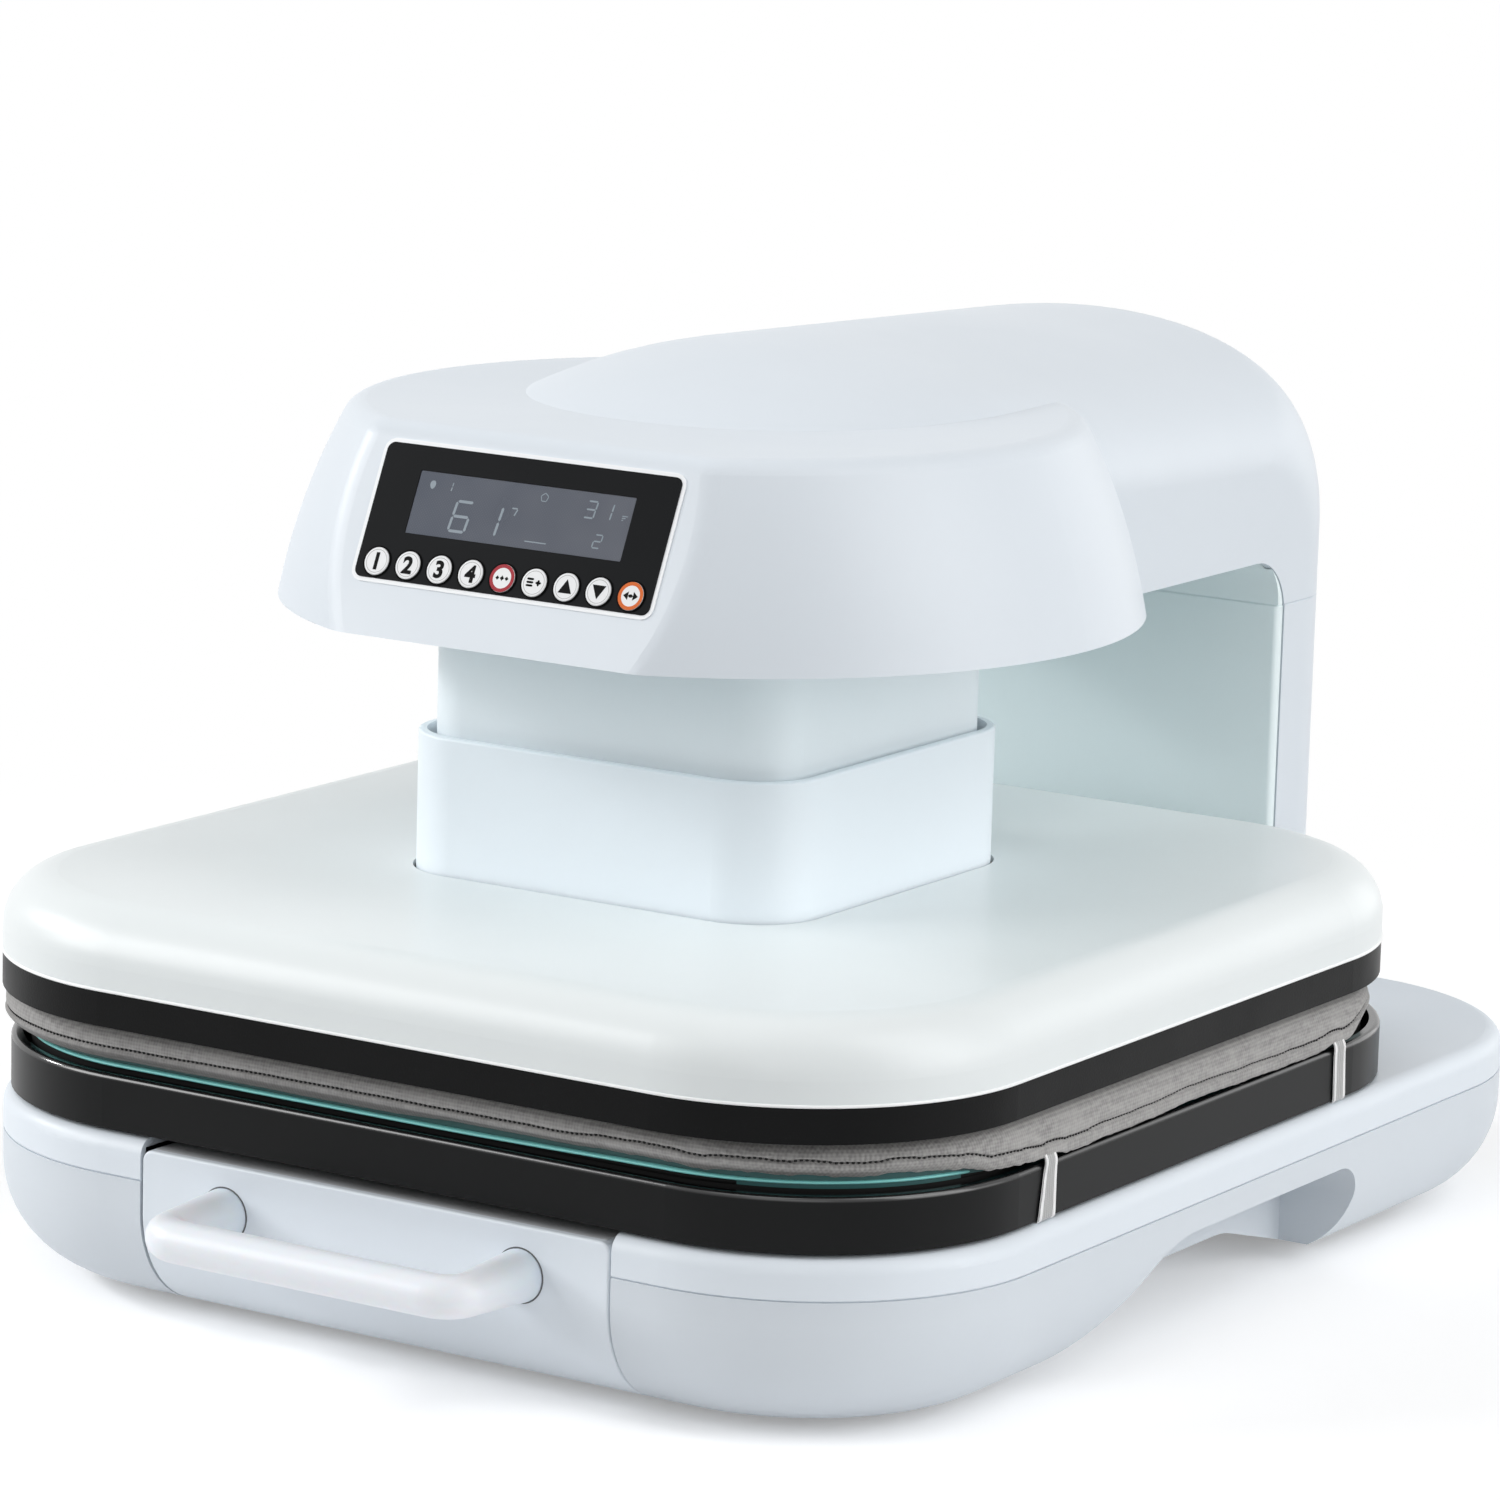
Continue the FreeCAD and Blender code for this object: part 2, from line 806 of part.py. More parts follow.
def display_window():
    """Clear pane in front of the display."""
    pane = face_plate(window_width - 2 * window_gap, window_height - 2 * window_gap,
                      window_corner - window_gap, -bezel_seat, bezel_proud - 2 * window_gap)
    pane.translate(Vector(0, window_rise, 0))
    return on_face(pane)


def display_module():
    """Liquid crystal display in its frame, on the key board."""
    low = board_metal - board_depth
    frame = face_plate(module_width, module_tall, module_corner, low, low + module_depth)
    glass = face_plate(window_width, window_height, small_bevel / 2, low + module_depth,
                       -bezel_seat)
    whole = fused([frame, glass])
    whole.translate(Vector(0, window_rise, 0))
    return on_face(whole)


def key_board():
    """Circuit board with one push switch under each key."""
    low = -board_depth
    board = face_plate(board_width, board_tall, panel_edge_radius, low, low + board_metal)
    pieces = [board]
    plunger_top = -bezel_seat - key_flange_height - window_gap - key_travel - window_gap
    for x, y in key_places():
        body = box(x - switch_size / 2, x + switch_size / 2, y - switch_size / 2,
                   y + switch_size / 2, low + board_metal, plunger_top - plunger_rise)
        pieces += [body, disc(x, y, plunger_radius, plunger_top - plunger_rise, plunger_top)]
    return on_face(fused(pieces))


def key(place):
    """Round key with a collar behind the bezel, free to travel inwards."""
    x, y = place
    collar_top = -bezel_seat - window_gap
    cap = disc(x, y, key_radius, collar_top, bezel_proud + key_proud)
    cap = cap.makeFillet(key_edge_radius, level_edges(cap, bezel_proud + key_proud))
    collar = disc(x, y, key_radius + key_flange, collar_top - key_flange_height, collar_top)
    return on_face(fused([cap, collar]))


def throat_strip(front, depth, x0, x1):
    """Piece that follows the underside, the round of the throat and the column's face."""
    low = housing_bottom + underside_play
    corners = [(front, low), (throat_rear, low), (throat_rear, housing_seam),
               (throat_rear + depth, housing_seam), (throat_rear + depth, low + panel_metal),
               (front, low + panel_metal)]
    radii = [0, throat_round, 0, 0, throat_round, 0]
    return rounded_face(corners, radii, yz(x0)).extrude(Vector(x1 - x0, 0, 0))


def underside_panel():
    """Inner panel under the head and arm, turned down into the column."""
    low = housing_bottom + underside_play
    high = low + panel_metal
    wall = shell_wall / cos(radians(head_lean)) + underside_play
    radius = head_radius - (high - housing_bottom) * tan(radians(head_lean)) - wall
    wall = shell_wall / cos(radians(face_lean)) + underside_play
    front = press_y - face_front + (high - housing_bottom) * face_slope + wall
    floor = disc(0, press_y, radius, low, high)
    floor = floor.common(box(-radius, radius, front, press_y + radius, low, high))
    half = arm_width / 2 - shell_wall - underside_play
    strip = throat_strip(press_y, panel_metal, -half, half)
    tongue = throat_strip(throat_rear - 2 * throat_round, tongue_depth, half - tongue_wall, half)
    bead = throat_bead(half)
    hole = skirt_block(inner_skirt_width / 2 + underside_play, inner_skirt_corner,
                       low - past, high + past)
    pieces = [floor, strip, tongue, mirrored(tongue), bead, mirrored(bead)]
    return fused(pieces).cut(hole)


def throat_bead(half):
    """Edge of the inner panel that shows in front of the groove, fading out upwards."""
    high = housing_bottom + underside_play
    low = housing_seam - throat_round
    depth = throat_rear + bead_depth
    start = throat_rear - throat_round
    crest = housing_bottom - underside_play
    outer = rounded_face([(start - past, crest), (depth, crest), (depth, low),
                          (start - past, low)], [0, throat_round + bead_depth, 0, 0], yz(half))
    outer = outer.extrude(Vector(arm_width / 2 - half - window_gap, 0, 0))
    clear = start - 2 * past
    inner = prism([(clear, high + past), (start, high + past), (start, high),
                   (throat_rear, high), (throat_rear, low - past), (clear, low - past)],
                  [0, 0, 0, throat_round - window_gap, 0, 0], arm_width)
    return outer.cut(inner).common(box(half, arm_width / 2, throat_rear - throat_round / 2,
                                       depth, housing_seam, high))


def column_front_panel():
    """Inner panel of the column, with its edges turned back to the groove."""
    half = arm_width / 2 - window_gap
    top = housing_seam
    corners = [(-half, throat_rear), (half, throat_rear),
               (half, throat_rear + bead_depth), (-half, throat_rear + bead_depth)]
    outer = rounded_face(corners, [panel_edge_radius, panel_edge_radius, 0, 0], xy(deck_z))
    outer = outer.extrude(Vector(0, 0, top - deck_z))
    rim = [e for e in level_edges(outer, top) if e.BoundBox.YMax < throat_rear + past]
    outer = outer.makeChamfer(seam_bevel, rim)
    inner_half = arm_width / 2 - shell_wall - underside_play
    inner = box(-inner_half, inner_half, throat_rear + panel_metal,
                throat_rear + bead_depth + past, deck_z - past, top + past)
    tongue = box(inner_half - tongue_wall, inner_half, throat_rear + panel_metal / 2,
                 throat_rear + tongue_depth, deck_z, top)
    return fused([outer.cut(inner), tongue, mirrored(tongue)])


def bowed_outline(inset, front, low, high):
    """Upright block with straight sides and the bowed rear of the arm."""
    half = arm_width / 2 - inset
    turn_y = arm_rear - rear_bulge
    bow = Part.Ellipse(Vector(0, turn_y, low), half, rear_bulge - inset)
    edges = [Part.Arc(bow, 0, pi).toShape(),
             Part.LineSegment(Vector(-half, turn_y, low), Vector(-half, front, low)).toShape(),
             Part.LineSegment(Vector(-half, front, low), Vector(half, front, low)).toShape(),
             Part.LineSegment(Vector(half, front, low), Vector(half, turn_y, low)).toShape()]
    return Part.Face(Part.Wire(edges)).extrude(Vector(0, 0, high - low))


def column_shell():
    """Side and rear wrap of the column, with the flat land for inlet and switch."""
    front = throat_rear + bead_depth + groove_gap
    outer = bowed_outline(0, front, deck_z, housing_seam)
    rim = [e for e in level_edges(outer, housing_seam) if e.BoundBox.YMax > front + past]
    outer = outer.makeChamfer(seam_bevel, rim)
    inner = bowed_outline(shell_wall, front - past, deck_z - past, housing_seam + past)
    shell = outer.cut(inner)
    land = box(-land_width / 2, land_width / 2, rear_y, base_rear, land_low, land_high)
    backing = box(-land_width / 2 - shell_wall, land_width / 2 + shell_wall,
                  rear_y - shell_wall, rear_y + land_depth / 2,
                  land_low - shell_wall, land_high + shell_wall).common(outer)
    cut_front = rear_y - 3 * shell_wall
    inlet_hole = box(-inlet_width / 2, inlet_width / 2, cut_front, base_rear,
                     inlet_height - inlet_tall / 2, inlet_height + inlet_tall / 2)
    half = rocker_width / 2 + switch_wall
    tall = rocker_tall / 2 + switch_wall
    switch_hole = box(-half, half, cut_front, base_rear, rocker_height - tall,
                      rocker_height + tall)
    return fused([shell, backing]).cut([land, inlet_hole, switch_hole])


def inlet_socket():
    """Three-pin mains inlet with its flange on the land."""
    half, tall = inlet_width / 2 - window_gap, inlet_tall / 2 - window_gap
    corners = [(-half, inlet_height - tall), (half, inlet_height - tall),
               (half, inlet_height + tall), (-half, inlet_height + tall)]
    radii = [inlet_low_corner] * 2 + [inlet_high_corner] * 2
    body = rounded_face(corners, radii, xz(rear_y)).extrude(Vector(0, -inlet_depth, 0))
    rim = half + inlet_flange
    flange = box(-rim, rim, rear_y, rear_y + inlet_flange, inlet_height - tall - inlet_flange,
                 inlet_height + tall + inlet_flange)
    flange = flange.makeFillet(inlet_flange_corner, [e for e in flange.Edges
                                                     if e.BoundBox.YLength > inlet_flange / 2])
    inner = [(x - inlet_wall if x > 0 else x + inlet_wall,
              z - inlet_wall if z > inlet_height else z + inlet_wall) for x, z in corners]
    radii = [inlet_low_corner / 2] * 2 + [inlet_high_corner - inlet_wall] * 2
    hollow = rounded_face(inner, radii, xz(rear_y + inlet_flange + past))
    hollow = hollow.extrude(Vector(0, inlet_wall - inlet_depth - inlet_flange - past, 0))
    pins = []
    for x, rise in ((-pin_spacing, 0), (0, pin_tall / 2), (pin_spacing, 0)):
        low = rear_y + inlet_wall - inlet_depth
        pins.append(box(x - pin_width / 2, x + pin_width / 2, low - past, low + pin_length,
                        inlet_height + rise - pin_tall / 2, inlet_height + rise + pin_tall / 2))
    return fused([body.fuse(flange).cut(hollow)] + pins)


def switch_frame():
    """Snap-in frame of the power switch."""
    half = rocker_width / 2 + switch_wall - window_gap
    tall = rocker_tall / 2 + switch_wall - window_gap
    body = box(-half, half, rear_y - switch_depth, rear_y, rocker_height - tall,
               rocker_height + tall)
    rim = inlet_flange / 2
    flange = box(-half - rim, half + rim, rear_y, rear_y + rim, rocker_height - tall - rim,
                 rocker_height + tall + rim)
    gap = rocker_gap
    hollow = box(-rocker_width / 2 - gap, rocker_width / 2 + gap, rear_y - switch_depth / 2,
                 rear_y + 2 * rim, rocker_height - rocker_tall / 2 - gap,
                 rocker_height + rocker_tall / 2 + gap)
    bore = rocker_pin(rocker_pin_radius + window_gap, half + past)
    return fused([body, flange]).cut([hollow, bore])


def rocker_pin(radius, reach):
    """Round pin on the rocker's axis, reaching as far to both sides."""
    return Part.makeCylinder(radius, 2 * reach,
                             Vector(-reach, rear_y - switch_depth / 4, rocker_height),
                             Vector(1, 0, 0))


def power_rocker():
    """Rocker that tilts about a pin across its middle; its two faces lean apart."""
    half = rocker_tall / 2 - rocker_pin_length
    rise = half * tan(radians(rocker_tilt))
    top = rear_y + inlet_flange
    pivot_y = rear_y - switch_depth / 4
    root = pivot_y - rocker_root
    edge = rocker_edge_radius
    corners = [(root, rocker_height - rocker_root), (top - rise - 2 * edge, rocker_height - half),
               (top - edge, rocker_height - half), (top - rise / 2, rocker_height),
               (top - edge - rise, rocker_height + half), (root, rocker_height + rocker_root)]
    face = rounded_face(corners, [2 * edge, edge, edge, 0, edge, 2 * edge],
                        yz(-rocker_width / 2))
    rocker = face.extrude(Vector(rocker_width, 0, 0))
    rocker.rotate(Vector(0, pivot_y, rocker_height), Vector(1, 0, 0), -rocker_tilt)
    return fused([rocker, rocker_pin(rocker_pin_radius, rocker_width / 2 + rocker_pin_length)])


def power_board():
    """Mains board on standoffs behind the web, with transformer, relay and heat sink."""
    start = frame_rear - frame_column_depth + column_web_metal
    board_y = start + power_standoff
    rear = board_y + board_metal
    half = power_width / 2
    pieces = [box(-half, half, board_y, rear, power_low, power_low + power_tall)]
    low = power_low + component_margin
    x = component_margin - half
    pieces.append(box(x, x + transformer_width, rear, rear + transformer_depth, low,
                      low + transformer_tall))
    x += transformer_width + component_margin
    pieces.append(box(x, x + relay_width, rear, rear + relay_depth, low, low + relay_tall))
    x += relay_width + component_margin + capacitor_radius
    pieces.append(Part.makeCylinder(capacitor_radius, capacitor_length,
                                    Vector(x, rear, low + capacitor_radius), Vector(0, 1, 0)))
    sink_left = half - component_margin - sink_width
    sink_low = power_low + power_tall - component_margin - sink_tall
    pieces.append(box(sink_left, sink_left + sink_width, rear, rear + sink_base, sink_low,
                      sink_low + sink_tall))
    for i in range(sink_fins):
        x = sink_left + (sink_width - sink_fin) * i / (sink_fins - 1)
        pieces.append(box(x, x + sink_fin, rear, rear + sink_depth, sink_low,
                          sink_low + sink_tall))
    for x in (standoff_inset - half, half - standoff_inset):
        for z in (power_low + standoff_inset, power_low + power_tall - standoff_inset):
            pieces.append(Part.makeCylinder(standoff_radius, power_standoff,
                                            Vector(x, start, z), Vector(0, 1, 0)))
    return fused(pieces)


def skirt_block(half, corner, low, high):
    """Square upright block about the press axis."""
    return rounded_block(half, press_y - half, press_y + half, corner, low, high)


def inner_skirt():
    """Fixed inner skirt, hung from a flange above the underside panel."""
    half = inner_skirt_width / 2
    flange_low = housing_bottom + underside_play + panel_metal
    flange_high = flange_low + skirt_flange_height
    tube = skirt_block(half, inner_skirt_corner, inner_skirt_low, flange_high)
    flange = skirt_block(half + skirt_flange, inner_skirt_corner + skirt_flange,
                         flange_low, flange_high)
    hollow = skirt_block(half - inner_skirt_wall, inner_skirt_corner - inner_skirt_wall,
                         inner_skirt_low - past, flange_high + past)
    posts = [disc(x, press_y + y, skirt_post_radius, flange_high - past, head_plate_low)
             for x in (-half - skirt_flange / 2, half + skirt_flange / 2)
             for y in (-skirt_post_spread, skirt_post_spread)]
    return fused([tube, flange] + posts).cut(hollow)


def outer_skirt():
    """Outer skirt that rides up with the platen around the inner one."""
    half = skirt_width / 2
    tube = skirt_block(half, skirt_corner, pressure_high, skirt_top)
    tube = tube.makeFillet(skirt_wall / 3, level_edges(tube, skirt_top))
    hollow = skirt_block(half - skirt_wall, skirt_corner - skirt_wall,
                         pressure_high + skirt_flange_height, skirt_top + past)
    mouth = half - skirt_wall - skirt_flange
    mouth = skirt_block(mouth, skirt_corner - skirt_wall - skirt_flange,
                        pressure_high - past, skirt_top + past)
    return tube.cut([hollow, mouth])


def platen_block(inset, low, high):
    """Block with the platen's outline, shrunk by inset."""
    half_y = platen_depth / 2 - inset
    return rounded_block(platen_width / 2 - inset, press_y - half_y, press_y + half_y,
                         platen_corner - inset, low, high)


def platen_cover():
    """Glossy cover of the upper platen, open round the outer skirt."""
    outer = platen_block(0, band_high, cover_top)
    outer = outer.makeFillet(cover_edge_radius, level_edges(outer, cover_top))
    inner = platen_block(cover_wall, band_high - past, cover_top - cover_wall)
    inner_edges = level_edges(inner, cover_top - cover_wall)
    inner = inner.makeFillet(cover_edge_radius - cover_wall, inner_edges)
    opening = skirt_block(skirt_width / 2 + cover_gap, skirt_corner + cover_gap,
                          band_high, cover_top + past)
    return outer.cut([inner, opening])


def platen_band():
    """Heat-resistant rim round the plate, with a ledge that clamps its edge."""
    outer = platen_block(0, band_low, band_high)
    bore = platen_block(band_wall, band_low - past, hot_plate_high)
    ledge = platen_block(band_wall + band_ledge, band_low - past, band_high + past)
    return outer.cut([bore, ledge])


def heating_plate():
    """Aluminium pressing plate with grooves for the element."""
    plate = platen_block(band_wall + plate_play, band_low, hot_plate_high)
    plate = plate.makeChamfer(small_bevel, level_edges(plate, band_low))
    return plate.cut(element_tube(element_radius))


def element_tube(radius):
    """Serpentine heating tube, lying half sunk in the top of the plate."""
    first = press_y - element_pitch * (element_rows - 1) / 2
    half = element_span / 2
    edges = []
    for i in range(element_rows):
        side = 1 if i % 2 == 0 else -1
        y = first + element_pitch * i
        start = Vector(-side * half, y, hot_plate_high)
        end = Vector(side * half, y, hot_plate_high)
        edges.append(Part.LineSegment(start, end).toShape())
        if i < element_rows - 1:
            top = Vector(side * (half + element_pitch / 2), y + element_pitch / 2, hot_plate_high)
            edges.append(Part.Arc(end, top, end + Vector(0, element_pitch, 0)).toShape())
    path = Part.Wire(edges)
    start = path.OrderedVertexes[0].Point
    section = Part.Wire(Part.makeCircle(radius, start, Vector(1, 0, 0)))
    return path.makePipeShell([section], True, True)


def heating_element():
    """Tubular heater in the plate's grooves."""
    return element_tube(element_radius)


def insulation_board():
    """Board between the hot plate's rim and the pressure plate."""
    board = platen_block(band_wall + insulation_play, insulation_low, pressure_low)
    clearance = disc(cutout_x(), press_y, cutout_radius + plate_play, insulation_low - past,
                     pressure_low + past)
    return board.cut(clearance)


def cutout_x():
    """Place across the press of the safety thermostat."""
    return pressure_plate_width / 2 + cutout_offset


def thermal_cutout():
    """Safety thermostat screwed to the plate beside the pressure plate."""
    top = hot_plate_high + cutout_height
    body = disc(cutout_x(), press_y, cutout_radius, hot_plate_high, top)
    tabs = []
    for side in (-1, 1):
        x = cutout_x() + side * cutout_radius / 2
        tabs.append(box(x - terminal_metal / 2, x + terminal_metal / 2,
                        press_y - terminal_width / 2, press_y + terminal_width / 2,
                        top, top + terminal_width))
    return fused([body] + tabs)


def pressure_plate():
    """Steel plate that spreads the force over the middle of the platen."""
    half = pressure_plate_width / 2
    plate = rounded_block(half, press_y - half, press_y + half, frame_metal, pressure_low,
                          pressure_high)
    return plate.cut(tower_bolt_holes())


def guide_posts():
    """Four ground posts that keep the platen level."""
    posts = []
    for x, y in post_places():
        post = disc(x, y, post_radius, pressure_high, post_top)
        posts.append(post.makeChamfer(small_bevel, level_edges(post, post_top)))
    return Part.makeCompound(posts)


def guide_bushes():
    """Flanged bushes pressed into the head plate."""
    bushes = []
    for x, y in post_places():
        body = disc(x, y, bush_radius, head_plate_low - bush_flange_height,
                    head_plate_low - bush_flange_height + bush_height)
        flange = disc(x, y, bush_flange_radius, head_plate_low - bush_flange_height,
                      head_plate_low)
        bore = disc(x, y, post_radius + running_gap, head_plate_low - bush_height,
                    head_plate_high + bush_height)
        bushes.append(fused([body, flange]).cut(bore))
    return Part.makeCompound(bushes)


def lead_screw():
    """Screw with a collar that bears on the thrust bearing and a journal above it."""
    top = head_plate_high + gearbox_height / 2
    thread = disc(0, press_y, screw_radius, screw_low, bearing_low - collar_height)
    thread = thread.makeChamfer(small_bevel, level_edges(thread, screw_low))
    collar = disc(0, press_y, collar_radius, bearing_low - collar_height, bearing_low)
    journal = disc(0, press_y, journal_radius, bearing_low, top)
    return fused([thread, collar, journal])


def thrust_bearing():
    """Bearing that takes the screw's push."""
    return ring(0, press_y, bearing_radius, journal_radius + running_gap, bearing_low,
                head_plate_low)


def lead_nut():
    """Bronze nut, flanged onto the top of the tower."""
    body = disc(0, press_y, nut_radius, tower_top - nut_height + nut_flange_height, tower_top)
    flange = disc(0, press_y, nut_flange_radius, tower_top, tower_top + nut_flange_height)
    bore = disc(0, press_y, screw_radius + running_gap, screw_low - nut_height,
                tower_top + nut_height)
    return fused([body, flange]).cut(bore)


def nut_tower():
    """Tube on the pressure plate that carries the nut clear of the screw's end."""
    tube = disc(0, press_y, tower_radius, pressure_high, tower_top)
    flange = disc(0, press_y, tower_flange_radius, pressure_high,
                  pressure_high + tower_flange_height)
    top = disc(0, press_y, nut_flange_radius, tower_top - nut_flange_height, tower_top)
    bore = disc(0, press_y, nut_radius, pressure_high - past, tower_top + past)
    return fused([tube, flange, top]).cut([bore] + tower_bolt_holes())


def bolt(x, y, seat, shank_radius, length):
    """Hexagon bolt with its head above the seat and its shank below."""
    across = shank_radius * bolt_head_spread
    corners = [(x + across * cos(radians(60 * i)), y + across * sin(radians(60 * i)))
               for i in range(6)]
    rise = Vector(0, 0, shank_radius * bolt_head_rise)
    head = rounded_face(corners, 0, xy(seat)).extrude(rise)
    return fused([head, disc(x, y, shank_radius, seat - length, seat)])


def tower_bolt_places():
    """Where the four bolts of the tower sit."""
    reach = (tower_radius + tower_flange_radius) / 2
    angles = [radians(45 + 90 * i) for i in range(4)]
    return [(reach * cos(a), press_y + reach * sin(a)) for a in angles]


def tower_bolt_holes():
    """Holes for the tower's bolts."""
    return [disc(x, y, tower_bolt_radius, pressure_low - past, (tower_top + pressure_high) / 2)
            for x, y in tower_bolt_places()]


def platen_bolts():
    """Four bolts through the foot of the tower into the pressure plate."""
    seat = pressure_high + tower_flange_height
    return Part.makeCompound([bolt(x, y, seat, tower_bolt_radius, seat - pressure_low)
                              for x, y in tower_bolt_places()])


def gearmotor():
    """Right-angle worm gearbox with its motor lying back along the arm."""
    low = head_plate_high
    high = low + gearbox_height
    half = gearbox_width / 2
    block = rounded_block(half, press_y - half, press_y + half, gearbox_edge, low, high)
    block = block.makeFillet(gearbox_edge / 2, level_edges(block, high))
    axis_z = (low + high) / 2 + motor_rise
    start = press_y + half
    collar = Part.makeCylinder(motor_radius - motor_collar_step, motor_collar,
                               Vector(0, start, axis_z), Vector(0, 1, 0))
    can = Part.makeCylinder(motor_radius, motor_length - motor_collar,
                            Vector(0, start + motor_collar, axis_z), Vector(0, 1, 0))
    can = can.makeFillet(motor_collar_step, [can.Edges[0], can.Edges[2]])
    bore = disc(0, press_y, journal_radius + running_gap, low - past, (low + high) / 2)
    return fused([block, collar, can]).cut(bore)


def limit_switch():
    """Micro switch under the head plate that stops the lift at the top."""
    y = press_y - post_spread - switch_body_width
    half = switch_body_length / 2
    low = head_plate_low - switch_body_height
    body = box(-half, half, y - switch_body_width / 2, y + switch_body_width / 2, low,
               head_plate_low)
    button = disc(half / 2, y, switch_button_radius, low - switch_button_height, low)
    return fused([body, button])


def drawer_front():
    """Front panel with its chin and cheeks, open at the top over the carriage."""
    rear = base_front + panel_return
    half = panel_width / 2
    outer = base_form(0, panel_top).common(box(-half, half, base_front - past, rear,
                                               pan_low - past, panel_top))
    sides = [e for e in level_edges(outer, panel_top)
             if e.BoundBox.XLength < touch and e.BoundBox.YMax > rear - past]
    outer = outer.makeFillet(panel_corner, sides)
    rim = [e for e in level_edges(outer, panel_top) if e.BoundBox.YMax < rear - past]
    outer = outer.makeFillet(panel_edge_radius / 2, rim)
    hollow = base_form(shell_wall, panel_top + past)
    hollow = hollow.common(box(shell_wall - half, half - shell_wall, base_front - past,
                               rear + past, pan_low, panel_top + past))
    return outer.cut([hollow] + handle_screws())


def drawer_handle():
    """Round bar bent at both ends into legs that widen towards the panel."""
    half = handle_spacing / 2
    z = pan_low + handle_height
    bar_y = base_front - handle_reach + handle_bar_radius
    bend = handle_bend
    slack = bend * (1 - sqrt(0.5))
    points = [Vector(-half, base_front, z), Vector(-half, bar_y + bend, z),
              Vector(-half + slack, bar_y + slack, z), Vector(-half + bend, bar_y, z),
              Vector(half - bend, bar_y, z), Vector(half - slack, bar_y + slack, z),
              Vector(half, bar_y + bend, z), Vector(half, base_front, z)]
    path = Part.Wire([Part.LineSegment(points[0], points[1]).toShape(),
                      Part.Arc(points[1], points[2], points[3]).toShape(),
                      Part.LineSegment(points[3], points[4]).toShape(),
                      Part.Arc(points[4], points[5], points[6]).toShape(),
                      Part.LineSegment(points[6], points[7]).toShape()])
    section = Part.Wire(Part.makeCircle(handle_bar_radius, points[0], Vector(0, 1, 0)))
    bar = path.makePipeShell([section], True, True)
    feet = []
    for x in (-half, half):
        foot = Part.makeCone(handle_foot_radius, handle_bar_radius, base_front - bar_y - bend,
                             Vector(x, base_front, z), Vector(0, -1, 0))
        rear_edge = [e for e in foot.Edges if e.BoundBox.YMin > base_front - touch]
        feet.append(foot.makeFillet(handle_foot_edge, rear_edge))
    return fused([bar] + feet).cut(handle_screws())


def handle_screws():
    """Two screws through the drawer front into the legs of the handle."""
    screws = []
    z = pan_low + handle_height
    seat = base_front + shell_wall
    for x in (-handle_spacing / 2, handle_spacing / 2):
        head = Part.makeCylinder(handle_screw_head, handle_screw_head_height,
                                 Vector(x, seat, z), Vector(0, 1, 0))
        shank = Part.makeCylinder(handle_screw_radius, handle_screw_length,
                                  Vector(x, seat, z), Vector(0, -1, 0))
        screws.append(fused([head, shank]))
    return screws


def slide_member(outer_x, inner_x, height, opens_inwards):
    """Channel of one slide member on the right, from x = inner_x to outer_x."""
    low = slide_middle_height - height / 2
    high = slide_middle_height + height / 2
    end = slide_front + slide_length
    block = box(inner_x, outer_x, slide_front, end, low, high)
    if opens_inwards:
        hollow = box(inner_x - past, outer_x - slide_metal, slide_front - past, end + past,
                     low + slide_metal, high - slide_metal)
    else:
        hollow = box(inner_x + slide_metal, outer_x + past, slide_front - past, end + past,
                     low + slide_metal, high - slide_metal)
    return block.cut(hollow)


def rails_outer():
    """Fixed channels on the inner faces of the frame plates."""
    return both_sides(slide_member(bay_half, bay_half - slide_depth + 2 * slide_metal,
                                   slide_height, True))


def rails_middle():
    """Middle channels, nested in the fixed ones."""
    step = slide_metal + slide_play
    return both_sides(slide_member(bay_half - step, bay_half - slide_depth + 2 * slide_metal,
                                   slide_height - 2 * step, True))


def rails_inner():
    """Inner channels, fixed to the carriage and nested in the middle ones."""
    step = 2 * (slide_metal + slide_play)
    return both_sides(slide_member(bay_half - step, carriage_half,
                                   slide_height - 2 * step, False))


def drawer_carriage():
    """Folded steel carriage between the slides, with a level top under the tray."""
    rear = slide_front + slide_length
    front = base_front + shell_wall
    top = panel_top - carriage_metal
    chin_top = pan_low + chin_radius
    nose_half = panel_width / 2 - shell_wall
    nose = box(-nose_half, nose_half, front, base_front + panel_return, top, panel_top)
    plate = box(-carriage_half, carriage_half, front, rear, top, panel_top)
    side = rounded_face([(front, chin_top + shell_wall), (front + chin_radius / 2, carriage_low),
                         (rear, carriage_low), (rear, top), (front, top)], 0,
                        yz(carriage_half - carriage_metal))
    side = side.extrude(Vector(carriage_metal, 0, 0))
    cross = box(-carriage_half, carriage_half, rear - carriage_metal, rear, carriage_low, top)
    face = box(-carriage_half, carriage_half, front, front + carriage_metal,
               chin_top + shell_wall, top)
    middle = handle_spacing / 2
    reliefs = [Part.makeCylinder(handle_screw_head + small_bevel, carriage_metal + 2 * past,
                                 Vector(x, front - past, pan_low + handle_height),
                                 Vector(0, 1, 0)) for x in (-middle, middle)]
    return fused([nose, plate, side, mirrored(side), cross, face]).cut(reliefs)


def spacer_places():
    """Where the tray's spacers stand."""
    return [(x, tray_y + y) for x in (-spacer_spread_x, spacer_spread_x)
            for y in (-spacer_spread_y, 0, spacer_spread_y)]


def tray_spacers():
    """Round spacers that hold the tray just above the deck."""
    return Part.makeCompound([disc(x, y, spacer_radius, panel_top, tray_low)
                              for x, y in spacer_places()])


def tray_block(inset, low, high):
    """Block with the tray's outline, shrunk by inset."""
    half_y = tray_depth / 2 - inset
    return rounded_block(tray_width / 2 - inset, tray_y - half_y, tray_y + half_y,
                         tray_corner - inset, low, high)


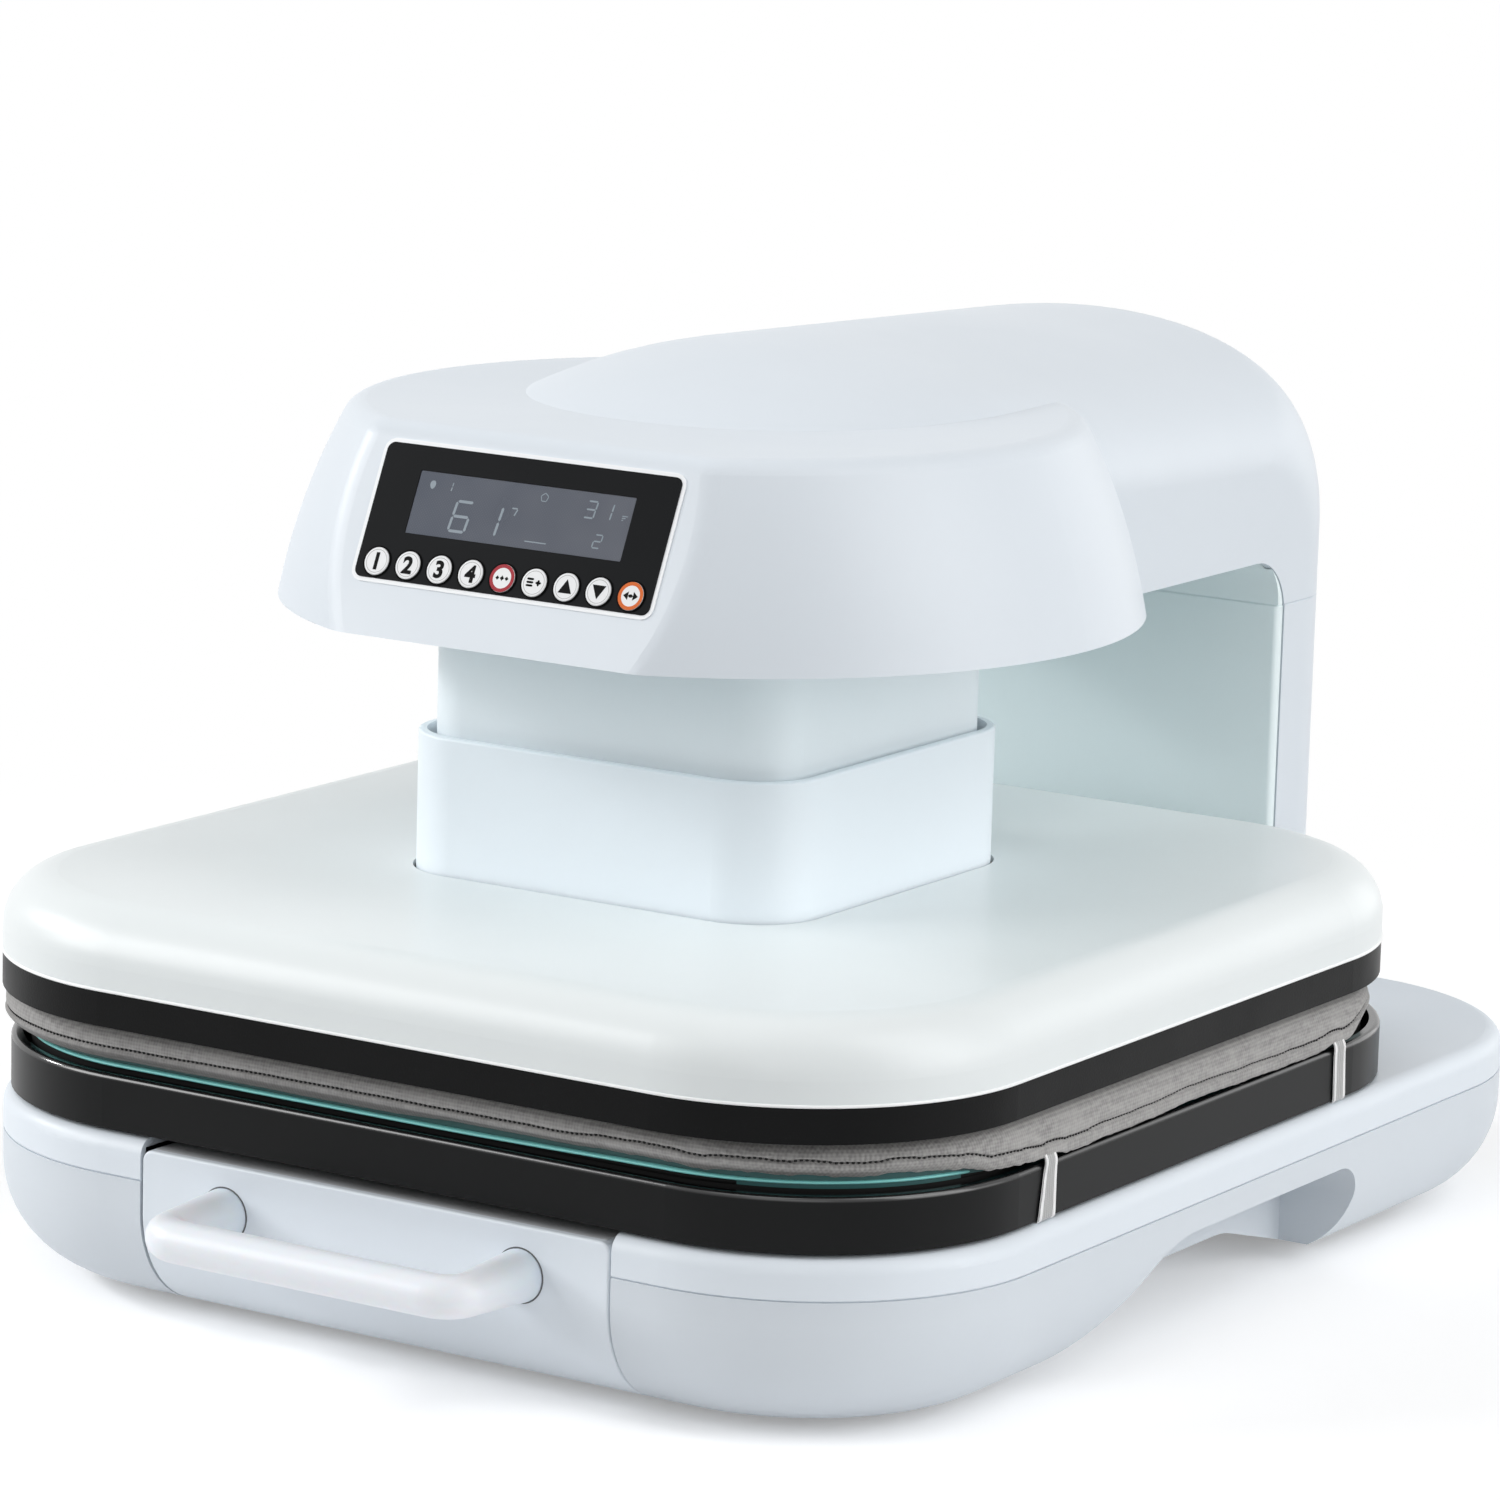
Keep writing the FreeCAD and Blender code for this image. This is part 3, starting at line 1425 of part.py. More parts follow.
def lower_tray():
    """Shallow tray that holds board, mat and pad."""
    outer = tray_block(0, tray_low, tray_high)
    outer = outer.makeFillet(tray_lip_radius, level_edges(outer, tray_high))
    return outer.cut(tray_block(tray_wall, board_low, tray_high + past))


def lower_board():
    """Stiff board that backs the silicone mat."""
    return tray_block(tray_wall + board_gap, board_low, mat_low)


def silicone_mat():
    """Springy mat under the pad."""
    return tray_block(tray_wall + board_gap, mat_low, mat_low + mat_height)


def cloth_pad():
    """Soft cloth-covered pad on the mat."""
    return tray_block(pad_inset, pad_low, pad_low + pad_height)


def elastic_straps():
    """Two straps that pass under the tray and hold the pad's cover down."""
    straps = []
    gap = soft_gap
    half = tray_width / 2 + gap / 2
    for y in (strap_front_place, strap_rear_place):
        outer = box(-half - strap_metal, half + strap_metal, y - strap_width / 2,
                    y + strap_width / 2, tray_low - strap_metal, tray_high - past)
        inner = box(-half, half, y - strap_width, y + strap_width, tray_low, tray_high)
        straps.append(outer.cut(inner))
    return Part.makeCompound(straps)


save("base_pan", base_pan())
save("base_cover", base_cover())
save("pan_screws", pan_screws())
save("rubber_feet", rubber_feet())
save("c_frame_plates", c_frame_plates())
save("base_tie", base_tie())
save("column_web", column_web())
save("head_plate", head_plate())
save("arm_shell", arm_shell())
save("underside_panel", underside_panel())
save("column_front_panel", column_front_panel())
save("column_shell", column_shell())
save("inlet_socket", inlet_socket())
save("switch_frame", switch_frame())
save("power_rocker", power_rocker())
save("power_board", power_board())
save("inner_skirt", inner_skirt())
save("outer_skirt", outer_skirt())
save("control_bezel", control_bezel())
save("display_window", display_window())
save("display_module", display_module())
save("key_board", key_board())
for number, place in enumerate(key_places(), 1):
    save("key_%d" % number, key(place))
save("platen_cover", platen_cover())
save("platen_band", platen_band())
save("heating_plate", heating_plate())
save("heating_element", heating_element())
save("insulation_board", insulation_board())
save("thermal_cutout", thermal_cutout())
save("pressure_plate", pressure_plate())
save("guide_posts", guide_posts())
save("guide_bushes", guide_bushes())
save("lead_screw", lead_screw())
save("thrust_bearing", thrust_bearing())
save("lead_nut", lead_nut())
save("nut_tower", nut_tower())
save("platen_bolts", platen_bolts())
save("gearmotor", gearmotor())
save("limit_switch", limit_switch())
save("drawer_front", drawer_front())
save("drawer_handle", drawer_handle())
save("handle_screws", Part.makeCompound(handle_screws()))
save("rails_outer", rails_outer())
save("rails_middle", rails_middle())
save("rails_inner", rails_inner())
save("drawer_carriage", drawer_carriage())
save("tray_spacers", tray_spacers())
save("lower_tray", lower_tray())
save("lower_board", lower_board())
save("silicone_mat", silicone_mat())
save("cloth_pad", cloth_pad())
save("elastic_straps", elastic_straps())
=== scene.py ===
import math

import bpy
import numpy as np
from mathutils import Matrix, Vector

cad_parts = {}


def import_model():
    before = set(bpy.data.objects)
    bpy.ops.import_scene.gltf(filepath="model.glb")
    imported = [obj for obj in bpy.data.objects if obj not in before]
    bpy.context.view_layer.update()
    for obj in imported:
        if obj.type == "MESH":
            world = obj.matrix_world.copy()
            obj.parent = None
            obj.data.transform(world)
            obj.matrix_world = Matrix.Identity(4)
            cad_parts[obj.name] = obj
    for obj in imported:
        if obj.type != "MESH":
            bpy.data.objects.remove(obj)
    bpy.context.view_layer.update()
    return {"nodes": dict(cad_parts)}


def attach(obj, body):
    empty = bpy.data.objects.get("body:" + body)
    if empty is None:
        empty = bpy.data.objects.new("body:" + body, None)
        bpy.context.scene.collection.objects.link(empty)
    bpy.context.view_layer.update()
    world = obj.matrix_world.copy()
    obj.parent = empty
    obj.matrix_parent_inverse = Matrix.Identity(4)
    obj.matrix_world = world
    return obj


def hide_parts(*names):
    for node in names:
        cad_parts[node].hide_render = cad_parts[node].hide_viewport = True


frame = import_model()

MM = 0.001
NODES = frame["nodes"]


# Materials


class Paint:
    """A node material with a principled shader, and short calls for its texture nodes."""

    def __init__(self, name, colour, roughness, **inputs):
        self.material = bpy.data.materials.new(name)
        self.material.use_nodes = True
        self.nodes = self.material.node_tree.nodes
        self.links = self.material.node_tree.links
        self.shader = self.nodes["Principled BSDF"]
        self.colour = colour
        self.shader.inputs["Base Color"].default_value = (*colour, 1)
        self.shader.inputs["Roughness"].default_value = roughness
        for key, value in inputs.items():
            self.shader.inputs[key.replace("_", " ")].default_value = value
        self.place = self.nodes.new("ShaderNodeTexCoord").outputs["Object"]
        self.normal = None

    def join(self, source, target):
        """Link from an output socket to an input socket."""
        self.links.new(source, target)

    def noise(self, scale, detail=3.0, stretch=None):
        """Noise in metres of the part: scale is in lumps per metre."""
        node = self.nodes.new("ShaderNodeTexNoise")
        node.inputs["Scale"].default_value = scale
        node.inputs["Detail"].default_value = detail
        place = self.place
        if stretch:
            mapping = self.nodes.new("ShaderNodeMapping")
            mapping.inputs["Scale"].default_value = stretch
            self.join(place, mapping.inputs["Vector"])
            place = mapping.outputs["Vector"]
        self.join(place, node.inputs["Vector"])
        return node.outputs["Fac"]

    def cells(self, scale):
        """Distance to the nearest of many scattered points."""
        node = self.nodes.new("ShaderNodeTexVoronoi")
        node.inputs["Scale"].default_value = scale
        self.join(self.place, node.inputs["Vector"])
        return node.outputs["Distance"]

    def spread(self, source, low, high, to_low, to_high, smooth=False):
        """Maps one span of values to another and holds it at the ends."""
        node = self.nodes.new("ShaderNodeMapRange")
        if smooth:
            node.interpolation_type = "SMOOTHSTEP"
        spans = {"From Min": low, "From Max": high, "To Min": to_low, "To Max": to_high}
        for key, value in spans.items():
            node.inputs[key].default_value = value
        self.join(source, node.inputs["Value"])
        return node.outputs["Result"]

    def maths(self, kind, first, second=None):
        """One Math node; each input is a socket or a number."""
        node = self.nodes.new("ShaderNodeMath")
        node.operation = kind
        for index, value in enumerate((first, second)):
            if value is None:
                continue
            if isinstance(value, (int, float)):
                node.inputs[index].default_value = value
            else:
                self.join(value, node.inputs[index])
        return node.outputs["Value"]

    def axis(self, name):
        """One coordinate of the surface, in metres."""
        node = self.nodes.new("ShaderNodeSeparateXYZ")
        self.join(self.place, node.inputs["Vector"])
        return node.outputs[name]

    def wave(self, name, pitch):
        """Sine along one axis, with its pitch in metres."""
        return self.maths("SINE", self.maths("MULTIPLY", self.axis(name), 2 * math.pi / pitch))

    def tint(self, factor, other):
        """Blends the colour towards another where the factor is high."""
        node = self.nodes.new("ShaderNodeMix")
        node.data_type = "RGBA"
        base = self.shader.inputs["Base Color"]
        before = base.links[0].from_socket if base.links else None
        if before:
            self.join(before, node.inputs["A"])
        else:
            node.inputs["A"].default_value = (*self.colour, 1)
        node.inputs["B"].default_value = (*other, 1)
        self.join(factor, node.inputs["Factor"])
        self.join(node.outputs["Result"], base)
        return self

    def rough(self, source, low, high):
        """Roughness that wanders between two values with the source."""
        self.join(self.spread(source, 0.3, 0.7, low, high), self.shader.inputs["Roughness"])

    def bump(self, source, height, strength=0.5):
        """Bump from a source, with its height in metres."""
        node = self.nodes.new("ShaderNodeBump")
        node.inputs["Strength"].default_value = strength
        node.inputs["Distance"].default_value = height
        self.join(source, node.inputs["Height"])
        if self.normal:
            self.join(self.normal, node.inputs["Normal"])
        self.normal = node.outputs["Normal"]
        self.join(self.normal, self.shader.inputs["Normal"])


def shade(colour, factor):
    """A colour made lighter or darker."""
    return tuple(min(1.0, c * factor) for c in colour)


def grey(value, warmth=0.0):
    """A neutral colour, warmer or cooler by a little."""
    return (value * (1 + warmth), value, value * (1 - warmth))


def painted(name, colour, roughness, peel=0.1, **inputs):
    """Smooth moulded or sprayed skin: orange peel, faint clouds and soft mottling."""
    paint = Paint(name, colour, roughness, **inputs)
    clouds = paint.noise(14, 3)
    paint.tint(paint.spread(clouds, 0.35, 0.75, 0, 0.5), shade(colour, 0.97))
    paint.tint(paint.spread(paint.noise(160, 2), 0.45, 0.75, 0, 0.3), shade(colour, 0.985))
    paint.rough(clouds, roughness * 0.92, roughness * 1.08)
    paint.bump(paint.noise(420, 1), 0.00004, peel)
    return paint


def moulded(name, colour, roughness, **inputs):
    """Grained plastic or rubber with a fine leathery pebble."""
    paint = Paint(name, colour, roughness, **inputs)
    paint.tint(paint.spread(paint.noise(40, 5), 0.4, 0.75, 0, 0.6), shade(colour, 1.35))
    paint.rough(paint.noise(25, 3), roughness * 0.85, roughness * 1.15)
    paint.bump(paint.cells(1400), 0.00008, 0.35)
    return paint


def metal(name, colour, roughness, stretch=(1, 1, 1)):
    """Bare or plated metal with brushed or rolled marks."""
    paint = Paint(name, colour, roughness, Metallic=1.0)
    marks = paint.noise(300, 4, stretch)
    paint.tint(paint.spread(paint.noise(30, 5), 0.4, 0.7, 0, 0.7), shade(colour, 0.8))
    paint.rough(marks, roughness * 0.75, roughness * 1.3)
    paint.bump(marks, 0.00005, 0.3)
    return paint


CLOTH_PITCH = 0.0012


def woven(name, colour, pitch):
    """Plain weave from three crossed sines, with slubs and soft rubbed patches."""
    paint = Paint(name, colour, 0.85, Sheen_Weight=0.25, Sheen_Roughness=0.5,
                  Specular_IOR_Level=0.2)
    waves = [paint.wave(a, pitch) for a in "XYZ"]
    height = paint.maths("ADD", paint.maths("ADD", waves[0], waves[1]), waves[2])
    slubs = paint.noise(520, 3)
    height = paint.maths("ADD", paint.maths("MULTIPLY", height, 0.4),
                         paint.maths("MULTIPLY", slubs, 4.0))
    paint.tint(paint.spread(height, 0.9, 3.1, 0.9, 0), shade(colour, 0.6))
    paint.tint(paint.spread(paint.noise(60, 5), 0.45, 0.75, 0, 0.5), shade(colour, 1.07))
    paint.rough(slubs, 0.765, 0.935)
    paint.bump(height, 0.00012, 0.5)
    return paint


def hem_weave(name, colour):
    """The pad's weave, with painted shade low down along the front, where the hem is turned under.
    """
    paint = woven(name, colour, CLOTH_PITCH)
    # Painted shade: the hem is darker low down along the front
    low = paint.spread(paint.axis("Z"), 0.0926, 0.0948, 0.72, 0, smooth=True)
    front = paint.spread(paint.axis("Y"), -0.215, -0.165, 1, 0, smooth=True)
    return paint.tint(paint.maths("MULTIPLY", low, front), grey(0.05, 0.04))


def elastic(name, colour):
    """Satin elastic: lengthwise ribs and fine cross threads."""
    paint = Paint(name, colour, 0.4, Sheen_Weight=0.3, Specular_IOR_Level=0.45)
    height = paint.maths("ADD", paint.wave("Y", 0.0014),
                         paint.maths("MULTIPLY", paint.wave("Z", 0.0006), 0.4))
    paint.tint(paint.spread(height, -1.2, 1.0, 0.5, 0), shade(colour, 0.75))
    paint.rough(paint.noise(400, 3), 0.34, 0.5)
    paint.bump(height, 0.00012, 0.6)
    return paint


def liquid_crystal(name):
    """Lit grey-blue display with a fine dot matrix and a lighter right side."""
    paint = Paint(name, (0.062, 0.075, 0.105), 0.22, Specular_IOR_Level=0.12)
    paint.tint(paint.spread(paint.axis("X"), -0.045, 0.045, 0, 0.5), (0.12, 0.127, 0.152))
    dots = paint.maths("MULTIPLY", paint.wave("X", 0.0011), paint.wave("Z", 0.0011))
    paint.tint(paint.spread(dots, 0.2, 1.0, 0, 0.25), (0.14, 0.15, 0.18))
    paint.rough(paint.noise(80, 3), 0.18, 0.28)
    paint.bump(paint.noise(500, 2), 0.00003, 0.15)
    return paint


def gloss_lip(name):
    """Black satin moulding that is glossier along its top edge."""
    paint = painted(name, (0.002, 0.0024, 0.0027), 0.3, 0.08, Specular_IOR_Level=0.16)
    edge = paint.spread(paint.axis("Z"), 0.0842, 0.0852, 0, 1, smooth=True)
    paint.join(paint.spread(edge, 0, 1, 0.32, 0.16), paint.shader.inputs["Roughness"])
    paint.join(paint.spread(edge, 0, 1, 0.16, 0.8), paint.shader.inputs["Specular IOR Level"])
    return paint


WHITE = (0.735, 0.79, 0.845)
MATERIALS = {
    "white_shell": painted("white_shell", WHITE, 0.42),
    # The shell's white made darker for the base pan as painted shade, and lighter for the two
    # skirts as painted light
    "pan_white_painted_shade": painted("pan_white_painted_shade", shade(WHITE, 0.865), 0.44),
    "skirt_white": painted("skirt_white", (0.87, 0.935, 0.985), 0.42),
    "upper_skirt_painted_light": painted("upper_skirt_painted_light", (0.885, 0.952, 0.99), 0.42),
    "cover_white": painted("cover_white", (0.81, 0.852, 0.858), 0.36, 0.05, Coat_Weight=0.12,
                           Coat_Roughness=0.2),
    # Whiter than the cover: a painted highlight along the cover's lower edge
    "rim_highlight_white": painted("rim_highlight_white", (0.95, 0.965, 0.965), 0.3, 0.05),
    "handle_white": painted("handle_white", (0.81, 0.84, 0.89), 0.4, 0.05, Coat_Weight=0.15,
                            Coat_Roughness=0.2, Subsurface_Weight=0.15),
    # Panel white made lighter as painted light, making up for the shade on the panels under the
    # head
    "panel_grey": painted("panel_grey", (0.85, 0.95, 0.965), 0.5),
    "band_black": moulded("band_black", (0.001, 0.0012, 0.0014), 0.4, Specular_IOR_Level=0.115),
    "tray_black": gloss_lip("tray_black"),
    "black_plastic": moulded("black_plastic", grey(0.014), 0.45, Specular_IOR_Level=0.25),
    "bezel_black": painted("bezel_black", (0.0035, 0.0042, 0.0052), 0.36,
                           Specular_IOR_Level=0.045),
    "key_white": painted("key_white", (0.8, 0.81, 0.82), 0.35),
    "display_glass": liquid_crystal("display_glass"),
    "circuit_board": painted("circuit_board", (0.02, 0.12, 0.06), 0.45),
    "rubber": moulded("rubber", grey(0.025), 0.75),
    # The teal mat's colour is made much darker as painted shade, for its shaded sides under the hem
    "mat_silicone": painted("mat_silicone", (0.004, 0.075, 0.075), 0.45),
    "pad_cloth": woven("pad_cloth", grey(0.4, 0.02), CLOTH_PITCH),
    "hem_cloth": hem_weave("hem_cloth", grey(0.39, 0.02)),
    # Grey for the straps' middles as painted shade; the white of the elastic shows in the strap
    # edges
    "strap_elastic": elastic("strap_elastic", grey(0.42)),
    "strap_cord": elastic("strap_cord", grey(0.95)),
    "board_black": moulded("board_black", grey(0.008), 0.6, Specular_IOR_Level=0.1),
    "frame_steel": moulded("frame_steel", grey(0.055), 0.5, Metallic=0.4),
    "carriage_paint": moulded("carriage_paint", grey(0.5, -0.03), 0.5),
    "zinc_steel": metal("zinc_steel", (0.62, 0.63, 0.62), 0.32),
    "bright_steel": metal("bright_steel", (0.72, 0.72, 0.71), 0.18, (1, 1, 9)),
    "plate_aluminium": metal("plate_aluminium", (0.76, 0.76, 0.75), 0.3, (6, 0.4, 1)),
    "motor_metal": metal("motor_metal", (0.5, 0.5, 0.5), 0.4),
    "bronze": metal("bronze", (0.62, 0.42, 0.2), 0.35),
    "board_fibre": moulded("board_fibre", (0.5, 0.44, 0.34), 0.85),
}


# Nodes with a material of their own instead of their slot's; the base pan's is darker as painted
# shade and the skirts' lighter as painted light
FINISHES_AND_PAINTED_LIGHT = {
    "lower_board": "board_black",
    "base_pan": "pan_white_painted_shade",
    "inner_skirt": "upper_skirt_painted_light",
    "outer_skirt": "skirt_white",
}


def dress_nodes():
    """Every node takes the finish of its slot, and a few a material of their own: painted shade on
    the base pan, painted light on the skirts.
    """
    for name, node in NODES.items():
        for index, material in enumerate(node.data.materials):
            base = FINISHES_AND_PAINTED_LIGHT.get(name, material.name.split(".")[0])
            node.data.materials[index] = MATERIALS[base].material


# Mesh helpers


def piece(name, verts, faces, material, body, smooth=True):
    """A mesh object of the part, riding on its body."""
    mesh = bpy.data.meshes.new(name)
    mesh.from_pydata([tuple(v) for v in verts], [], faces)
    mesh.update()
    paint = MATERIALS[material] if isinstance(material, str) else material
    mesh.materials.append(paint.material)
    for polygon in mesh.polygons:
        polygon.use_smooth = smooth
    made = bpy.data.objects.new(name, mesh)
    bpy.context.scene.collection.objects.link(made)
    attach(made, body)
    return made


def grid_faces(rows, columns, close_rows=False, close_columns=False):
    """Faces of a grid of points that is counted row by row."""
    faces = []
    for r in range(rows if close_rows else rows - 1):
        for c in range(columns if close_columns else columns - 1):
            d, n = (c + 1) % columns, (r + 1) % rows
            faces.append((r * columns + c, r * columns + d, n * columns + d, n * columns + c))
    return faces


def outline(half_x, half_y, radius, count, centre_y=0.0):
    """Even points round a rounded rectangle, with their outward directions and arc lengths."""
    straight_x, straight_y = 2 * (half_x - radius), 2 * (half_y - radius)
    arc = math.pi / 2 * radius
    runs = [straight_y, arc, straight_x, arc] * 2
    points, normals = [], []
    total = sum(runs)
    for k in range(count):
        s = total * k / count
        run = 0
        while s > runs[run]:
            s -= runs[run]
            run += 1
        quarter = run // 2
        turn = quarter * math.pi / 2
        if run % 2 == 0:
            reach = half_x if quarter % 2 == 0 else half_y
            local = Vector((reach, s - runs[run] / 2))
            normal = Vector((1, 0))
        else:
            angle = s / radius
            side = (half_x, half_y) if quarter % 2 == 0 else (half_y, half_x)
            local = Vector((side[0] - radius + radius * math.cos(angle),
                            side[1] - radius + radius * math.sin(angle)))
            normal = Vector((math.cos(angle), math.sin(angle)))
        turned = Matrix.Rotation(turn, 2)
        p, n = turned @ local, turned @ normal
        points.append((p.x, p.y + centre_y))
        normals.append((n.x, n.y))
    return np.array(points), np.array(normals), np.arange(count) * total / count


def wander(s, waves, seed):
    """A smooth repeatable wave along a closed length, from several sines."""
    rng = np.random.default_rng(seed)
    out = np.zeros_like(s)
    total = s[-1] + (s[1] - s[0])
    for wavelength, height in waves:
        turns = max(1, round(total / wavelength))
        out += height * np.sin(2 * math.pi * turns * s / total + rng.uniform(0, 2 * math.pi))
    return out


def step(x, low, high):
    """Smooth step from 0 to 1."""
    t = np.clip((x - low) / (high - low), 0, 1)
    return t * t * (3 - 2 * t)


# Cloth pad on the tray

TRAY_Y = -24.6
PAD_HALF = (198.4, 199.6)
PAD_CORNER = 84.0
PAD_LOW, PAD_TOP = 92.05, 104.3
# Half the tray's width, and the height below which the hem lies against the tray
TRAY_HALF = 200.0
HEM_REST = 88.6
STRAPS = (-122.5, 81.0)
# Corner of the cover, the way it moves, the reach of the move, its size at the hem and at the crown
BULGES = (((-185.2, -185.4), (-0.843, -0.538), 85.0, 4.2, 4.2),
          ((173.8, 150.4), (0.707, 0.707), 70.0, -4.3, -8.0),
          ((-173.8, 150.4), (-0.707, 0.707), 70.0, -4.3, -8.0))


def nearness(points, spot, reach):
    """1 at a spot and 0 beyond its reach."""
    near = np.hypot(points[:, 0] - spot[0], points[:, 1] - spot[1]) / reach
    return 0.5 + 0.5 * np.cos(math.pi * np.minimum(near, 1))


def bulge(points, high):
    """Sideways move of the cover at its corners; high is 0 at the hem and 1 at the crown."""
    moved = np.zeros((len(points), 2))
    for spot, way, reach, low_size, high_size in BULGES:
        size = nearness(points, spot, reach) * (low_size + (high_size - low_size) * high)
        moved += size[:, None] * np.array(way)
    return moved


def drape(points):
    """How far the cover is pulled down at each point: 0 in front, 1 between the straps."""
    x, y = points[:, 0], points[:, 1]
    front = step(y, -186, -120)
    back = 1 - step(y, 84, 122)
    return front * back * (np.abs(x) > 60)


def pinch(points, width=7.0):
    """1 where a strap holds the hem, 0 away from it."""
    near = np.zeros(len(points))
    for y in STRAPS:
        near = np.maximum(near, np.exp(-((points[:, 1] - y) / width) ** 2))
    return near * (np.abs(points[:, 0]) > 150)


def slab_mesh(half_x, half_y, corner, low, high):
    """Closed pad with rounded edges and a top that is level, as a start for the cloth."""
    count = 288
    rings = []
    thick = high - low
    for inset, z in ((0.35, low), (0.0, low + thick * 0.3), (0.0, low + thick * 0.7), (0.35, high)):
        edge = inset * thick
        pts, _, _ = outline(half_x - edge, half_y - edge, corner - edge, count, TRAY_Y)
        rings.append(np.column_stack([pts, np.full(count, z)]))
    verts = np.vstack(rings) * MM
    faces = grid_faces(4, count, close_columns=True)
    faces.append(tuple(reversed(range(count))))
    faces.append(tuple(range(3 * count, 4 * count)))
    return verts, faces


def voxel(made, size):
    """Even small faces all over the piece."""
    modifier = made.modifiers.new("even", "REMESH")
    modifier.mode = "VOXEL"
    modifier.voxel_size = size
    bake(made)


def bake(made):
    """Turns the piece's modifiers into plain mesh."""
    graph = bpy.context.evaluated_depsgraph_get()
    mesh = bpy.data.meshes.new_from_object(made.evaluated_get(graph), depsgraph=graph)
    old = made.data
    made.modifiers.clear()
    made.data = mesh
    bpy.data.meshes.remove(old)


def soften(made):
    """One subdivision, made plain mesh, with smooth shading."""
    modifier = made.modifiers.new("round", "SUBSURF")
    modifier.levels = 1
    modifier.render_levels = 1
    bake(made)
    for polygon in made.data.polygons:
        polygon.use_smooth = True


CLOTH_PRESSURE = 4.0
CLOTH_FRAMES = 20
CLOTH_REACH = 0.0022


def inflate(made):
    """Blows the cover up as real cloth and holds each point near its start."""
    start = np.array([v.co for v in made.data.vertices])
    cloth = made.modifiers.new("cloth", "CLOTH")
    cloth.settings.use_pressure = True
    cloth.settings.uniform_pressure_force = CLOTH_PRESSURE
    cloth.settings.effector_weights.gravity = 0
    cloth.settings.quality = 4
    for moment in range(1, CLOTH_FRAMES + 1):
        bpy.context.scene.frame_set(moment)
    bake(made)
    moved = np.array([v.co for v in made.data.vertices])
    shift = moved - start
    length = np.linalg.norm(shift, axis=1, keepdims=True)
    shift *= np.minimum(1, CLOTH_REACH / np.maximum(length, 1e-9))
    bpy.context.scene.frame_set(1)
    return start + shift


def cover_shape(co):
    """Wrinkles, the bulges and the room between mat and press, set on the blown cover."""
    x, y, z = co[:, 0] / MM, co[:, 1] / MM, co[:, 2] / MM
    qx = np.abs(x) - (PAD_HALF[0] - PAD_CORNER)
    qy = np.abs(y - TRAY_Y) - (PAD_HALF[1] - PAD_CORNER)
    out = np.hypot(np.maximum(qx, 0), np.maximum(qy, 0)) + np.minimum(np.maximum(qx, qy), 0)
    near = step(out, PAD_CORNER - 38, PAD_CORNER - 8)
    angle = np.arctan2(y - TRAY_Y, x)
    folds = np.sin(angle * 97 + 0.6 * np.sin(angle * 31)) * 0.3 + np.sin(angle * 53 + 1.3) * 0.3
    folds *= near * (0.4 + 0.6 * drape(np.column_stack([x, y])))
    lumps = 0.25 * np.sin(x / 23.0 + 1.1 * np.sin(y / 37.0)) * np.sin(y / 29.0)
    z = z + folds * 0.4 * step(z, 96, 102) + lumps * step(z, 100, 103) * (1 - near)
    z = np.clip(z, PAD_LOW, PAD_TOP - 1.1 * step(out, PAD_CORNER - 14, PAD_CORNER - 6))
    flat = np.column_stack([x, y])
    flat += bulge(flat, 0.3 + 0.7 * step(z, 93, 101))
    return np.column_stack([flat, z]) * MM


def cloth_pad():
    """The grey cover of the foam pad."""
    verts, faces = slab_mesh(PAD_HALF[0] - 3.8, PAD_HALF[1] - 3.8, PAD_CORNER - 3.6,
                             PAD_LOW + 1.3, PAD_TOP - 1.4)
    made = piece("pad_cover", verts, faces, "pad_cloth", "drawer")
    voxel(made, 0.0045)
    co = inflate(made)
    made.data.vertices.foreach_set("co", cover_shape(co).astype(np.float32).ravel())
    soften(made)
    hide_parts("cloth_pad")


def hem_shape(points, s):
    """Heights and outward offsets of the seam and the hem at each point round the pad."""
    x, y = points[:, 0], points[:, 1]
    pull, hold = drape(points), pinch(points)
    back = step(y, 84, 118)
    corner = step(x, 60, 120) * (1 - step(y, -120, -95))
    # How wavy the hem is, and its long and short waves
    wavy = np.clip(0.2 + 0.3 * pull + 1.0 * corner + 0.5 * pinch(points, 45.0), 0, 1.5)
    wave = wander(s, ((52, 0.3), (27, 0.3), (15, 0.16)), 3) * wavy
    small = wander(s, ((7.3, 0.13), (4.9, 0.12), (3.6, 0.08)), 5) * np.maximum(wavy, 0.25)
    # Height of the hem's lower edge: in front, along the sides and at the back
    front_low = 90.6 + 1.1 * step(x, 0, 30) + 0.4 * step(x, 70, 100)
    side_low = 86.9 + 1.0 * np.exp(-((y + 19) / 30) ** 2) + 1.9 * hold
    low = front_low + (side_low - front_low) * pull
    low = low + (92.8 - low) * back + wave * 0.8 + small
    # Height of the seam in the same three places
    front_seam = 95.3 + 0.8 * step(x, -118, -30) + 1.3 * step(x, 70, 100)
    side_seam = side_low + 4.9 - 1.2 * hold
    seam = front_seam + (side_seam - front_seam) * pull
    seam = seam + (96.8 - seam) * back + wave * 0.9 + small * 0.5
    # Offsets of the seam, the ridge under it and the lower edge
    out_seam = -0.3 + 1.3 * pull + wave * 0.4 - 0.3 * hold
    out_ridge = 0.45 + 1.35 * pull + wave * 0.5 + 0.1 * hold
    out_low = -2.2 + 4.0 * pull + wave * 0.4 + small * 0.6 + 0.5 * hold
    return seam, low, out_seam, out_ridge, out_low


